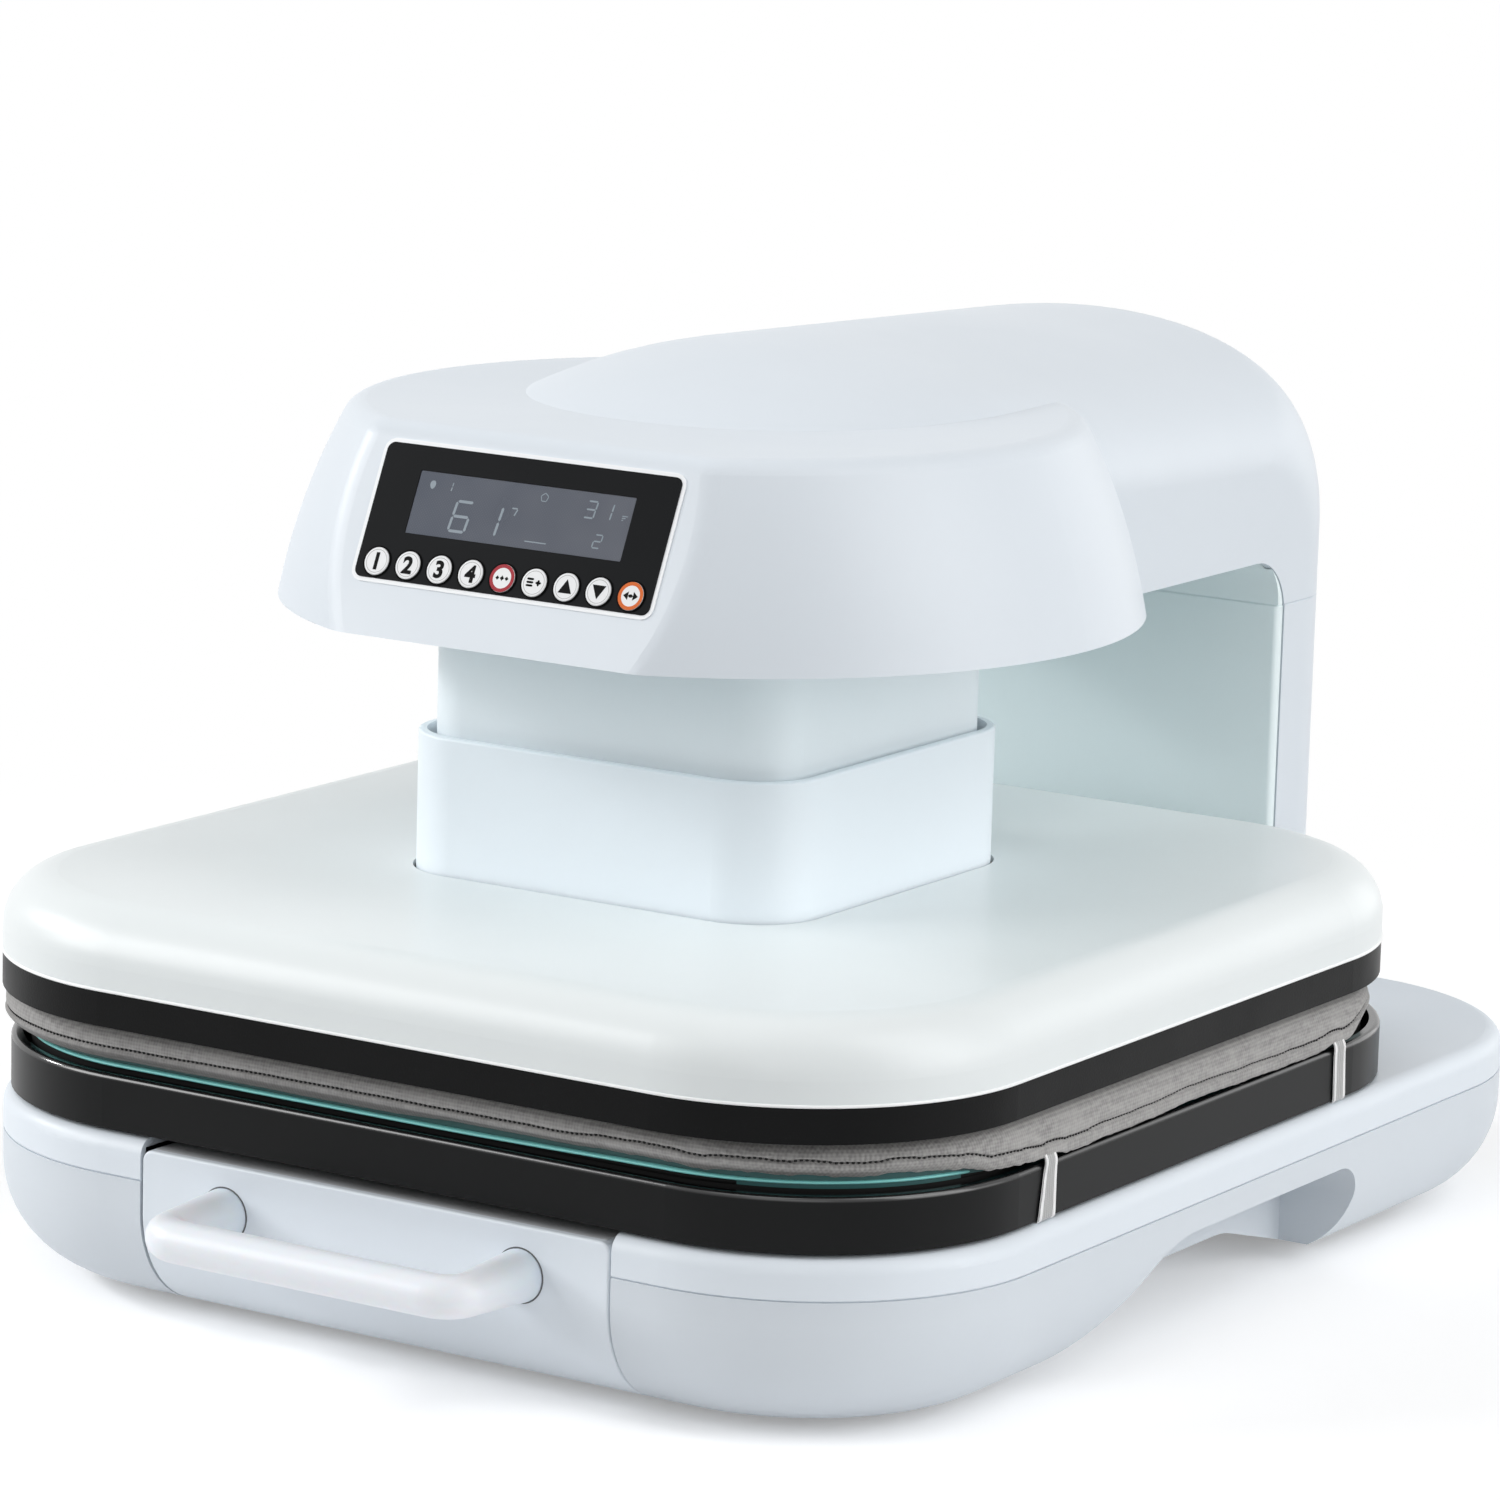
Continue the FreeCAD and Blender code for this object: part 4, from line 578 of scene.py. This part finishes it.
def pad_hem():
    """Skirt of the cover: a soft side wall, the stitched groove and the hem under it."""
    count = 1080
    points, normals, s = outline(*PAD_HALF, PAD_CORNER, count, TRAY_Y)
    seam, low, out_seam, out_ridge, out_low = hem_shape(points, s)
    rise = nearness(points, BULGES[0][0], BULGES[0][2])
    folds = wander(s, ((31, 0.25), (17, 0.2), (11, 0.12)), 8) * (0.3 + 0.7 * drape(points))
    level = np.zeros(count)
    wall = np.maximum(101.0 + 1.6 * rise, seam + 1.6)
    # Outward offset, height and share of the crown's bulge, from the top inwards to the turned hem
    rows = [
        (level - 15.0, level + 102.9, 1.0),
        (level - 9.5, level + 103.75 + 0.2 * rise, 1.0),
        (level - 5.2, level + 103.5 + 0.5 * rise, 1.0),
        (level - 2.6 + 0.8 * rise, 102.5 + 1.0 * rise + folds * 0.3, 0.95),
        (level - 0.8 + 0.3 * rise + folds * 0.5, wall, 0.85),
        (out_seam * 0.6 + 0.1 + folds * 0.7, seam + (wall - seam) * 0.62, 0.5),
        (out_seam + 0.5 + folds * 0.3, seam + (wall - seam) * 0.22, 0.15),
        (out_seam + 0.3, seam + 0.55, 0.0),
        (out_seam - 0.8, seam + 0.1, 0.0),
        (out_seam - 0.8, seam - 0.25, 0.0),
        (out_ridge - 0.1, seam - 0.7, 0.0),
        (out_ridge + 0.15, seam - 1.6, 0.0),
        (0.5 * (out_ridge + out_low) + 0.25, 0.5 * (seam - 1.6 + low), 0.0),
        (out_low, low + 0.3, 0.0),
        (out_low - 0.4, low - 0.15, 0.0),
        (out_low - 2.4, low + 0.1, 0.0),
        (out_low - 3.4, low + 0.7, 0.0),
        (out_low - 3.6, low + 2.6, 0.0),
    ]
    least = TRAY_HALF - 1.1 - PAD_HALF[0]
    verts = []
    for offset, z, high in rows:
        resting = (drape(points) > 0.5) * (z < HEM_REST)
        offset = np.where(resting, np.maximum(offset, least), offset)
        spots = points + normals * offset[:, None]
        verts.append(np.column_stack([spots + bulge(points, high), z]))
    verts = np.vstack(verts) * MM
    made = piece("pad_hem", verts, grid_faces(len(rows), count, close_columns=True),
                 "hem_cloth", "drawer")
    soften(made)


def stitches():
    """Row of dark stitches along the seam of the hem, sunk where the cover is pulled down."""
    count = 3800
    points, normals, s = outline(*PAD_HALF, PAD_CORNER, count, TRAY_Y)
    seam, _, out_seam, _, _ = hem_shape(points, s)
    depth = -0.35 - 0.35 * drape(points) * (1 - pinch(points, 30.0))
    spots = points + normals * (out_seam + depth)[:, None] + bulge(points, 0.0)
    verts, faces = [], []
    for k in range(0, count, 5):
        after = (k + 3) % count
        a = Vector((*spots[k], seam[k]))
        b = Vector((*spots[after], seam[after]))
        outward = Vector((*normals[k], 0))
        along = (b - a).normalized()
        up = along.cross(outward).normalized()
        base = len(verts)
        for t, size in ((0.0, 0.2), (0.15, 0.42), (0.5, 0.5), (0.85, 0.42), (1.0, 0.2)):
            middle = a.lerp(b, t) + outward * 0.12 * math.sin(math.pi * t)
            for q in range(6):
                turn = q * math.pi / 3
                spot = middle + (outward * math.cos(turn) * 0.6 + up * math.sin(turn)) * size
                verts.append(spot * MM)
        faces += [tuple(base + i for i in face) for face in grid_faces(5, 6, close_columns=True)]
        faces.append(tuple(base + i for i in reversed(range(6))))
        faces.append(tuple(base + 24 + i for i in range(6)))
    thread = woven("thread", grey(0.022), 0.0005)
    piece("pad_stitches", verts, faces, thread, "drawer")


MAT_HALF = (193.0, 194.2)
MAT_CORNER = 80.0


def mat_lip():
    """Soft bead round the lower edge of the heat-proof mat, bright turquoise as a painted highlight
    on the lit edge, and a dark strip under it as painted shade.
    """
    count = 480
    points, normals, _ = outline(*MAT_HALF, MAT_CORNER, count, TRAY_Y)
    shown = step(-normals[:, 1], 0.1, 0.4)
    lift = 1.2 * step(points[:, 0], 20, 130) * shown
    rows = ((-1.0, 87.35), (0.8, 87.4), (1.7, 87.65), (2.0, 88.1), (1.7, 88.55), (0.9, 88.75),
            (-1.0, 88.8))
    verts = []
    for offset, z in rows:
        out = offset - (1 - shown) * (offset + 1.0) * 0.9
        verts.append(np.column_stack([points + normals * out[:, None], z + lift]))
    # Bright turquoise bead as a painted highlight along the mat's lit lower edge
    lip = painted("mat_edge_highlight", (0.28, 0.78, 0.74), 0.35, Subsurface_Weight=0.1)
    piece("mat_lip", np.vstack(verts) * MM, grid_faces(len(rows), count, close_columns=True), lip,
          "drawer")
    # Dark strip below the bead as painted shade, in the shaded gap between the mat and the tray's
    # rim
    verts = []
    for offset, z in ((0.2, 87.0), (0.7, 87.05), (0.7, 87.5), (0.2, 87.6)):
        verts.append(np.column_stack([points + normals * offset, z + lift * (z > 87.3)]))
    piece("mat_base_shade", np.vstack(verts) * MM, grid_faces(4, count, close_columns=True),
          "board_black", "drawer")


PLATEN_Y = -28.0
PLATEN_HALF = (200.3, 204.65)
PLATEN_CORNER = 87.3


def cover_rim():
    """Rounded bead round the lower edge of the platen's white cover, whiter than the cover as a
    painted highlight.
    """
    count = 720
    points, normals, _ = outline(*PLATEN_HALF, PLATEN_CORNER, count, PLATEN_Y)
    rows = ((-0.6, 116.85), (0.25, 116.85), (0.5, 117.1), (0.5, 117.5), (0.3, 117.85),
            (-0.6, 118.0))
    verts = [np.column_stack([points + normals * offset, np.full(count, z)]) for offset, z in rows]
    piece("cover_rim", np.vstack(verts) * MM, grid_faces(len(rows), count, close_columns=True),
          "rim_highlight_white", "platen")


HANDLE_FEET = (-61.0, 61.0)
HANDLE_Z = 46.0
FRONT_Y = -228.25


def foot_rings():
    """Thin dark ring round each foot of the handle, as painted shade in the gap between foot and
    panel.
    """
    verts, faces = [], []
    around, ring = 64, 8
    for x in HANDLE_FEET:
        base = len(verts)
        for k in range(around):
            a = 2 * math.pi * k / around
            for q in range(ring):
                b = 2 * math.pi * q / ring
                reach = 9.4 + 0.26 * math.cos(b)
                verts.append(((x + reach * math.cos(a)) * MM, (FRONT_Y - 0.2 * math.sin(b)) * MM,
                              (HANDLE_Z + reach * math.sin(a)) * MM))
        faces += [tuple(base + i for i in face)
                  for face in grid_faces(around, ring, close_rows=True, close_columns=True)]
    # Dark grey ring as painted shade in the gap round each foot
    seam = painted("foot_gap_shade", grey(0.1, -0.05), 0.6)
    piece("handle_gap_shade", verts, faces, seam, "drawer")


# Distance from the middle and height along one end of a strap, from the hem to the tray's underside
STRAP_PATH = ((198.0, 92.0), (199.2, 90.4), (200.2, 88.9), (200.9, 87.4), (201.1, 86.0),
              (200.95, 84.0), (200.9, 80.0), (200.9, 74.0), (200.9, 69.0), (200.8, 67.3),
              (200.1, 66.4), (197.5, 66.25))
# Place along the tray at the hem and low down, and half the width at both
STRAP_PLACES = ((-122.6, -124.2, 3.5, 5.3), (80.7, 81.8, 3.8, 4.2))


def strap_strip(side, place, low, high, lift):
    """One lengthwise strip of a strap between two shares of its half width, as verts and faces."""
    y_top, y_low, half_top, half_low = place
    across = 5
    rows = len(STRAP_PATH)
    verts = []
    for inner in (False, True):
        for x, z in STRAP_PATH:
            share = (88 - z) / 20
            under = z < 66.5
            y = y_top + (y_low - y_top) * share
            half = half_top + (half_low - half_top) * max(0.0, share)
            for k in range(across):
                t = 2 * k / (across - 1) - 1
                out = -0.5 if inner else lift * (1 - t * t)
                reach = low + (high - low) * (t + 1) / 2
                if under:
                    spot = (x, y + reach * half, z - out * 0.3)
                else:
                    spot = (x + out, y + reach * half, z)
                verts.append((side * spot[0] * MM, spot[1] * MM, spot[2] * MM))
    faces = []
    for face in grid_faces(rows, across):
        back = tuple(rows * across + i for i in reversed(face))
        faces += [face, back] if side < 0 else [face[::-1], back[::-1]]
    for r in range(rows - 1):
        for c in (0, across - 1):
            a, b = r * across + c, (r + 1) * across + c
            faces.append((a, b, b + rows * across, a + rows * across))
    return verts, faces


def straps():
    """Four flat elastic straps from the hem down the tray's sides, with raised white edges and a
    middle painted darker grey as shade.
    """
    web_verts, web_faces, cord_verts, cord_faces = [], [], [], []
    strips = ((-0.8, 0.8, 0.0, web_verts, web_faces),
              (-1.0, -0.62, 0.35, cord_verts, cord_faces),
              (0.62, 1.0, 0.35, cord_verts, cord_faces))
    for side in (-1, 1):
        for place in STRAP_PLACES:
            for low, high, lift, verts, faces in strips:
                base = len(verts)
                more, joined = strap_strip(side, place, low, high, lift)
                verts.extend(more)
                faces.extend(tuple(base + i for i in face) for face in joined)
    made = piece("tray_straps", web_verts, web_faces, "strap_elastic", "drawer")
    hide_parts("elastic_straps")
    piece("strap_edges", cord_verts, cord_faces, "strap_cord", "drawer")


# Control panel

PANEL_CENTRE = Vector((0, -150.21, 279.5))
PANEL_OUT = Vector((0, -0.9114, 0.4115))
PANEL_UP = Vector((0, 0.4115, 0.9114))
WINDOW_SIZE = (88.6, 22.6)
WINDOW_UP = 4.2
WINDOW_FACE = 0.42
KEY_STEP, KEY_DOWN = 13.05, -18.3
KEY_FACE = 1.1


def on_panel(u, v, height):
    """A point of the panel in metres from its place across, up the slope and above the face."""
    return (PANEL_CENTRE + Vector((u, 0, 0)) + PANEL_UP * v + PANEL_OUT * height) * MM


def plate(name, shapes, height, thick, material, body):
    """Raised flat shapes on the panel, from outlines in panel millimetres."""
    verts, faces = [], []
    for shape in shapes:
        base, n = len(verts), len(shape)
        for level in (height, height + thick):
            verts += [on_panel(u, v, level) for u, v in shape]
        faces.append(tuple(base + n + i for i in range(n)))
        faces.append(tuple(base + i for i in reversed(range(n))))
        faces += [(base + i, base + (i + 1) % n, base + n + (i + 1) % n, base + n + i)
                  for i in range(n)]
    piece(name, verts, faces, material, body, smooth=False)


def band(name, outer, inner, height, thick, material, body):
    """Raised frame between two outlines of equal count."""
    n = len(outer)
    top = height + thick
    verts = []
    for shape, level in ((outer, height), (outer, top), (inner, top), (inner, height)):
        verts += [on_panel(u, v, level) for u, v in shape]
    piece(name, verts, grid_faces(4, n, close_rows=True, close_columns=True),
          material, body, smooth=False)


def circle(u, v, radius, count=48):
    """Points of a circle, anticlockwise."""
    turns = [2 * math.pi * k / count for k in range(count)]
    return [(u + radius * math.cos(t), v + radius * math.sin(t)) for t in turns]


def rounded(half_u, half_v, radius):
    """Points of a rounded rectangle round the panel's middle."""
    points, _, _ = outline(half_u, half_v, radius, 160)
    return [tuple(p) for p in points]


def rod(u, v, length, width, turn=0.0):
    """A bar with clipped ends, as the segments of a number display have."""
    clip = width / 2
    half = length / 2
    shape = [(-half, 0), (clip - half, clip), (half - clip, clip), (half, 0), (half - clip, -clip),
             (clip - half, -clip)]
    c, s = math.cos(turn), math.sin(turn)
    return [(u + x * c - y * s, v + x * s + y * c) for x, y in shape]


SEGMENTS = {"0": "abcdef", "1": "bc", "2": "abged", "3": "abgcd", "4": "fgbc", "5": "afgcd",
            "6": "afgedc", "7": "abc", "8": "abcdefg", "9": "abcdfg"}


def number(figure, u, v, tall, wide, width):
    """One figure of a seven-part number display."""
    half = tall / 4
    parts = {"a": (0, 2 * half, 0), "g": (0, 0, 0), "d": (0, -2 * half, 0),
             "b": (wide / 2, half, 1), "c": (wide / 2, -half, 1),
             "f": (-wide / 2, half, 1), "e": (-wide / 2, -half, 1)}
    out = []
    for key in SEGMENTS[figure]:
        du, dv, upright = parts[key]
        length = (2 * half if upright else wide) - width * 0.35
        slant = dv * 0.1
        turn = math.pi / 2 - 0.1 if upright else 0
        out.append(rod(u + du + slant, v + dv, length, width, turn))
    return out


# Figure, place across and down the window as shares, height, width and line width
FIGURES = (
    ("6", 0.235, 0.64, 10.6, 6.6, 1.0),
    ("1", 0.375, 0.64, 10.6, 6.6, 1.0),
    ("3", 0.81, 0.27, 5.8, 3.8, 0.6),
    ("1", 0.885, 0.27, 5.8, 3.8, 0.6),
    ("2", 0.875, 0.74, 4.6, 3.0, 0.5),
    ("1", 0.15, 0.2, 3.2, 2.0, 0.4),
)


def in_window(across, down):
    """Place in the display window from shares of its width and height."""
    wide, tall = WINDOW_SIZE
    return (across - 0.5) * wide, WINDOW_UP + (0.5 - down) * tall


def display():
    """Faint lit numbers and small marks in the window."""
    shapes = []
    for figure, across, down, tall, wide, width in FIGURES:
        u, v = in_window(across, down)
        shapes += number(figure, u, v, tall, wide, width)
    u, v = in_window(0.47, 0.45)
    shapes += [rod(u, v + 1.0, 2.4, 0.5), rod(u + 0.8, v - 0.4, 2.6, 0.5, 1.2)]
    u, v = in_window(0.59, 0.18)
    turns = [2 * math.pi * k / 5 for k in range(5)]
    ring = [Vector((u + 1.6 * math.sin(t), v + 1.6 * math.cos(t))) for t in turns]
    for k in range(5):
        a, b = ring[k], ring[(k + 1) % 5]
        middle, along = (a + b) / 2, b - a
        turn = math.atan2(along.y, along.x)
        shapes.append(rod(middle.x, middle.y, along.length, 0.35, turn))
    u, v = in_window(0.07, 0.19)
    drop = []
    for k in range(20):
        t = 2 * math.pi * k / 20
        wide = 0.6 + 0.4 * abs(math.sin(t / 2))
        drop.append((u + 1.3 * math.sin(t) * wide, v - 0.3 - 1.5 * math.cos(t)))
    shapes.append(drop[::-1])
    u, v = in_window(0.96, 0.33)
    shapes += [rod(u + 0.4 * k, v - 0.9 + 0.7 * k, 0.8 + 0.8 * k, 0.35) for k in range(3)]
    u, v = in_window(0.6, 0.88)
    shapes.append(rod(u, v, 9.0, 0.4))
    ink = painted("display_ink", (0.14, 0.19, 0.235), 0.3)
    plate("display_numbers", shapes, WINDOW_FACE, 0.03, ink, "press")


def arrow(u, v, size, up):
    """Triangle that points up or down the panel."""
    half = size * 0.62
    tip = half if up else -half
    base = -tip * 0.8
    shape = [(u - half, v + base), (u + half, v + base), (u, v + tip)]
    return shape if up else shape[::-1]


def digit(figure, u, v, tall):
    """A bold printed number as a flat mesh on the panel."""
    curve = bpy.data.curves.new("digit_" + figure, "FONT")
    curve.body = figure
    curve.size = tall * 1.38 * MM
    curve.align_x, curve.align_y = "CENTER", "CENTER"
    curve.offset = 0.3 * MM
    curve.extrude = 0.03 * MM
    holder = bpy.data.objects.new("digit_" + figure, curve)
    bpy.context.scene.collection.objects.link(holder)
    graph = bpy.context.evaluated_depsgraph_get()
    mesh = bpy.data.meshes.new_from_object(holder.evaluated_get(graph), depsgraph=graph)
    bpy.data.objects.remove(holder)
    verts = np.array([v.co for v in mesh.vertices]) / MM
    middle = (verts.min(0) + verts.max(0)) / 2
    verts -= middle
    spots = [on_panel(u + p[0], v + p[1], KEY_FACE + 0.03 + p[2]) for p in verts]
    faces = [tuple(p.vertices) for p in mesh.polygons]
    bpy.data.meshes.remove(mesh)
    return spots, faces


# Line between the rocker's two faces: its place back and its height
ROCKER_Y, ROCKER_Z = 269.9, 121.18


def on_rocker(points, lift):
    """Points above the rocker's faces in metres, from their place across and their height."""
    made = []
    for x, z in points:
        lean = 0.0105 if z > ROCKER_Z else 0.129
        made.append((x * MM, (ROCKER_Y + (z - ROCKER_Z) * lean + lift) * MM, z * MM))
    return made


def rocker_marks():
    """Generic on and off marks, a bar and a ring, on the rocker's two faces."""
    ink = painted("rocker_ink", grey(0.7), 0.45)
    low, high = 0.02, 0.09
    bar = [(0.45, 123.2), (-0.45, 123.2), (-0.45, 127.3), (0.45, 127.3)]
    verts = on_rocker(bar, low) + on_rocker(bar, high)
    faces = [(3, 2, 1, 0), (4, 5, 6, 7)]
    faces += [(i, (i + 1) % 4, 4 + (i + 1) % 4, 4 + i) for i in range(4)]
    piece("rocker_mark_on", verts, faces, ink, "rocker", smooth=False)
    outer, inner = circle(0, 117.3, 2.1, 40), circle(0, 117.3, 1.35, 40)
    verts = on_rocker(outer, low) + on_rocker(outer, high)
    verts += on_rocker(inner, high) + on_rocker(inner, low)
    piece("rocker_mark_off", verts, grid_faces(4, 40, close_rows=True, close_columns=True), ink,
          "rocker", smooth=False)


def key_place(n):
    """Middle of a key on the panel."""
    return (n - 5) * KEY_STEP, KEY_DOWN


def key_collars():
    """Thin black ring round each key, as painted shade for the recess round it."""
    # Black ring as painted shade in the gap round each key
    gap = painted("key_gap_shade", grey(0.002), 0.6, 0.05, Specular_IOR_Level=0.03)
    for n in range(1, 10):
        u, v = key_place(n)
        band("key_collar_%d" % n, circle(u, v, 5.55), circle(u, v, 5.06), 0.0, 0.95, gap, "press")


def key_shapes(n):
    """Outlines of the mark on each of the keys 5 to 9."""
    u, v = key_place(n)
    if n == 5:
        return [rod(u - 1.9, v, 1.5, 1.5), rod(u, v, 1.7, 1.9), rod(u + 1.9, v, 1.5, 1.5)]
    if n == 6:
        lines = [rod(u - 1.6, v + up, 2.9, 0.75) for up in (1.15, 0, -1.15)]
        return lines + [rod(u + 1.8, v, 2.4, 0.8, turn) for turn in (0, math.pi / 2)]
    if n in (7, 8):
        return [arrow(u, v, 4.4, up=(n == 7))]
    return [[(u - 2.9, v), (u - 1.0, v - 1.5), (u - 1.0, v + 1.5)], rod(u, v, 2.0, 1.1),
            [(u + 2.9, v), (u + 1.0, v + 1.5), (u + 1.0, v - 1.5)]]


def key_marks():
    """Printed marks on the nine keys, printed red and orange rings on keys 5 and 9, and thin grey
    rings on the other keys as painted shade of their domed caps.
    """
    ink = painted("key_ink", grey(0.002), 0.5, 0.05, Specular_IOR_Level=0.05)
    # Grey ring as painted shade near the rim of each domed key
    line = painted("key_dome_shade", grey(0.42), 0.4)
    red = painted("key_red", (0.36, 0.004, 0.018), 0.4, 0.05, Specular_IOR_Level=0.2)
    orange = painted("key_orange", (0.7, 0.13, 0.006), 0.4, 0.05, Specular_IOR_Level=0.2)
    coloured = {5: red, 9: orange}
    for n in range(1, 10):
        u, v = key_place(n)
        body = "button_%d" % n
        outer, wide = (4.9, 1.25) if n in coloured else (4.2, 0.22)
        band("key_ring_%d" % n, circle(u, v, outer), circle(u, v, outer - wide), KEY_FACE, 0.03,
             coloured.get(n, line), body)
        if n <= 4:
            spots, faces = digit(str(n), u, v, 5.9)
            piece("key_mark_%d" % n, spots, faces, ink, body, smooth=False)
        else:
            plate("key_mark_%d" % n, key_shapes(n), KEY_FACE, 0.04, ink, body)


def panel_trim():
    """Thin raised white line round the dark panel."""
    line = painted("panel_line", (0.88, 0.9, 0.92), 0.3)
    outer, inner = rounded(62.0, 25.7, 4.4), rounded(60.45, 24.15, 2.95)
    band("panel_outline", outer, inner, 0.0, 0.35, line, "press")


# Floor, light and camera


def seen(tree):
    """1 for camera, mirror and see-through rays, 0 for the light that falls on the part."""
    path = tree.nodes.new("ShaderNodeLightPath")
    total = None
    for key in ("Is Camera Ray", "Is Glossy Ray", "Is Transmission Ray"):
        if total is None:
            total = path.outputs[key]
            continue
        node = tree.nodes.new("ShaderNodeMath")
        node.operation = "ADD"
        node.use_clamp = True
        tree.links.new(total, node.inputs[0])
        tree.links.new(path.outputs[key], node.inputs[1])
        total = node.outputs[0]
    return total


FLOOR_RADIUS = 9.0
# Light that only the camera sees on the floor, and where the floor fades to white
FLOOR_LIFT = 0.26
FLOOR_FADE = (0.3, 0.9)


def floor():
    """Pale floor that fades into the white backdrop."""
    n = 64
    verts = [(0, 0, 0)] + [(x, y, 0) for x, y in circle(0, 0, FLOOR_RADIUS, n)]
    mesh = bpy.data.meshes.new("floor")
    mesh.from_pydata(verts, [], [(0, 1 + k, 1 + (k + 1) % n) for k in range(n)])
    made = bpy.data.objects.new("floor", mesh)
    bpy.context.scene.collection.objects.link(made)
    paint = Paint("floor", (0.93, 0.93, 0.935), 0.8, Specular_IOR_Level=0.1)
    paint.bump(paint.noise(120, 3), 0.0001, 0.1)
    tree = paint.material.node_tree
    glow = tree.nodes.new("ShaderNodeEmission")
    tree.links.new(seen(tree), glow.inputs["Strength"])
    distance = tree.nodes.new("ShaderNodeVectorMath")
    distance.operation = "LENGTH"
    tree.links.new(paint.place, distance.inputs[0])
    faint = tree.nodes.new("ShaderNodeEmission")
    tree.links.new(paint.maths("MULTIPLY", seen(tree), FLOOR_LIFT), faint.inputs["Strength"])
    lifted = tree.nodes.new("ShaderNodeAddShader")
    tree.links.new(paint.shader.outputs[0], lifted.inputs[0])
    tree.links.new(faint.outputs[0], lifted.inputs[1])
    mix = tree.nodes.new("ShaderNodeMixShader")
    fade = paint.spread(distance.outputs["Value"], *FLOOR_FADE, 0, 1, smooth=True)
    tree.links.new(fade, mix.inputs[0])
    tree.links.new(lifted.outputs[0], mix.inputs[1])
    tree.links.new(glow.outputs[0], mix.inputs[2])
    tree.links.new(mix.outputs[0], tree.nodes["Material Output"].inputs["Surface"])
    mesh.materials.append(paint.material)


def world(level):
    """White surroundings that light the part at a plain level."""
    made = bpy.data.worlds.new("studio")
    bpy.context.scene.world = made
    made.use_nodes = True
    tree = made.node_tree
    background = tree.nodes["Background"]
    background.inputs["Color"].default_value = (1, 1, 1, 1)
    node = tree.nodes.new("ShaderNodeMapRange")
    node.inputs["To Min"].default_value = level
    node.inputs["To Max"].default_value = 1.0
    tree.links.new(seen(tree), node.inputs["Value"])
    tree.links.new(node.outputs["Result"], background.inputs["Strength"])


def lamp(name, place, target, size, power):
    """Soft square lamp that looks at a point."""
    data = bpy.data.lights.new(name, "AREA")
    data.size = size
    data.energy = power
    made = bpy.data.objects.new(name, data)
    made.location = place
    made.rotation_euler = (Vector(target) - Vector(place)).to_track_quat("-Z", "Y").to_euler()
    bpy.context.scene.collection.objects.link(made)


# The photograph's view in degrees, and its focal length and width in pixels
VIEW_ANGLES = (32.571, 11.131, 1.608)
VIEW_PLACE = (1.2552, -1.9654, 0.6392)
FOCAL_PIXELS = 6615.74
PHOTO_PIXELS = 1500
SENSOR = 36.0


def camera():
    """Camera at the photograph's angle."""
    azimuth, elevation, roll = (math.radians(a) for a in VIEW_ANGLES)
    flat = math.cos(elevation)
    back = Vector((math.sin(azimuth) * flat, -math.cos(azimuth) * flat, math.sin(elevation)))
    right = Vector((math.cos(azimuth), math.sin(azimuth), 0))
    up = back.cross(right)
    across = right * math.cos(roll) + up * math.sin(roll)
    over = up * math.cos(roll) - right * math.sin(roll)
    data = bpy.data.cameras.new("camera")
    data.sensor_fit = "HORIZONTAL"
    data.sensor_width = SENSOR
    data.lens = SENSOR * FOCAL_PIXELS / PHOTO_PIXELS
    made = bpy.data.objects.new("camera", data)
    turn = Matrix((across, over, back)).transposed().to_4x4()
    made.matrix_world = Matrix.Translation(VIEW_PLACE) @ turn
    bpy.context.scene.collection.objects.link(made)
    bpy.context.scene.camera = made


# Name, place, target, size and power of each lamp
LAMPS = (
    ("key", (-2.0, -1.75, 1.25), (0, -0.05, 0.15), 1.5, 38.5),
    ("spot", (-2.68, -0.66, 1.32), (0, 0, 0.15), 0.3, 22.0),
    ("fill", (2.65, 0.15, 0.85), (0, 0, 0.15), 1.8, 23.5),
    ("fill_high", (1.9, 0.2, 2.2), (0, 0, 0.15), 1.8, 22.5),
    ("front", (1.3, -2.6, 0.9), (0, 0, 0.15), 1.8, 8.0),
    ("front_high", (0.2, -1.9, 2.5), (0, 0, 0.15), 1.6, 6.5),
    ("top", (0.2, -0.3, 2.7), (0, 0, 0.15), 2.0, 7.5),
    ("back_right", (2.6, 1.2, 0.5), (0, 0, 0.15), 1.6, 7.5),
    ("back", (0.9, 2.75, 0.4), (0, 0, 0.15), 1.8, 10.0),
)


def studio():
    """Floor, surroundings, lamps, camera and the plain view transform."""
    floor()
    world(0.21)
    for values in LAMPS:
        lamp(*values)
    camera()
    bpy.context.scene.view_settings.view_transform = "Standard"


dress_nodes()
cloth_pad()
pad_hem()
stitches()
mat_lip()
straps()
foot_rings()
rocker_marks()
cover_rim()
key_collars()
panel_trim()
display()
key_marks()
studio()
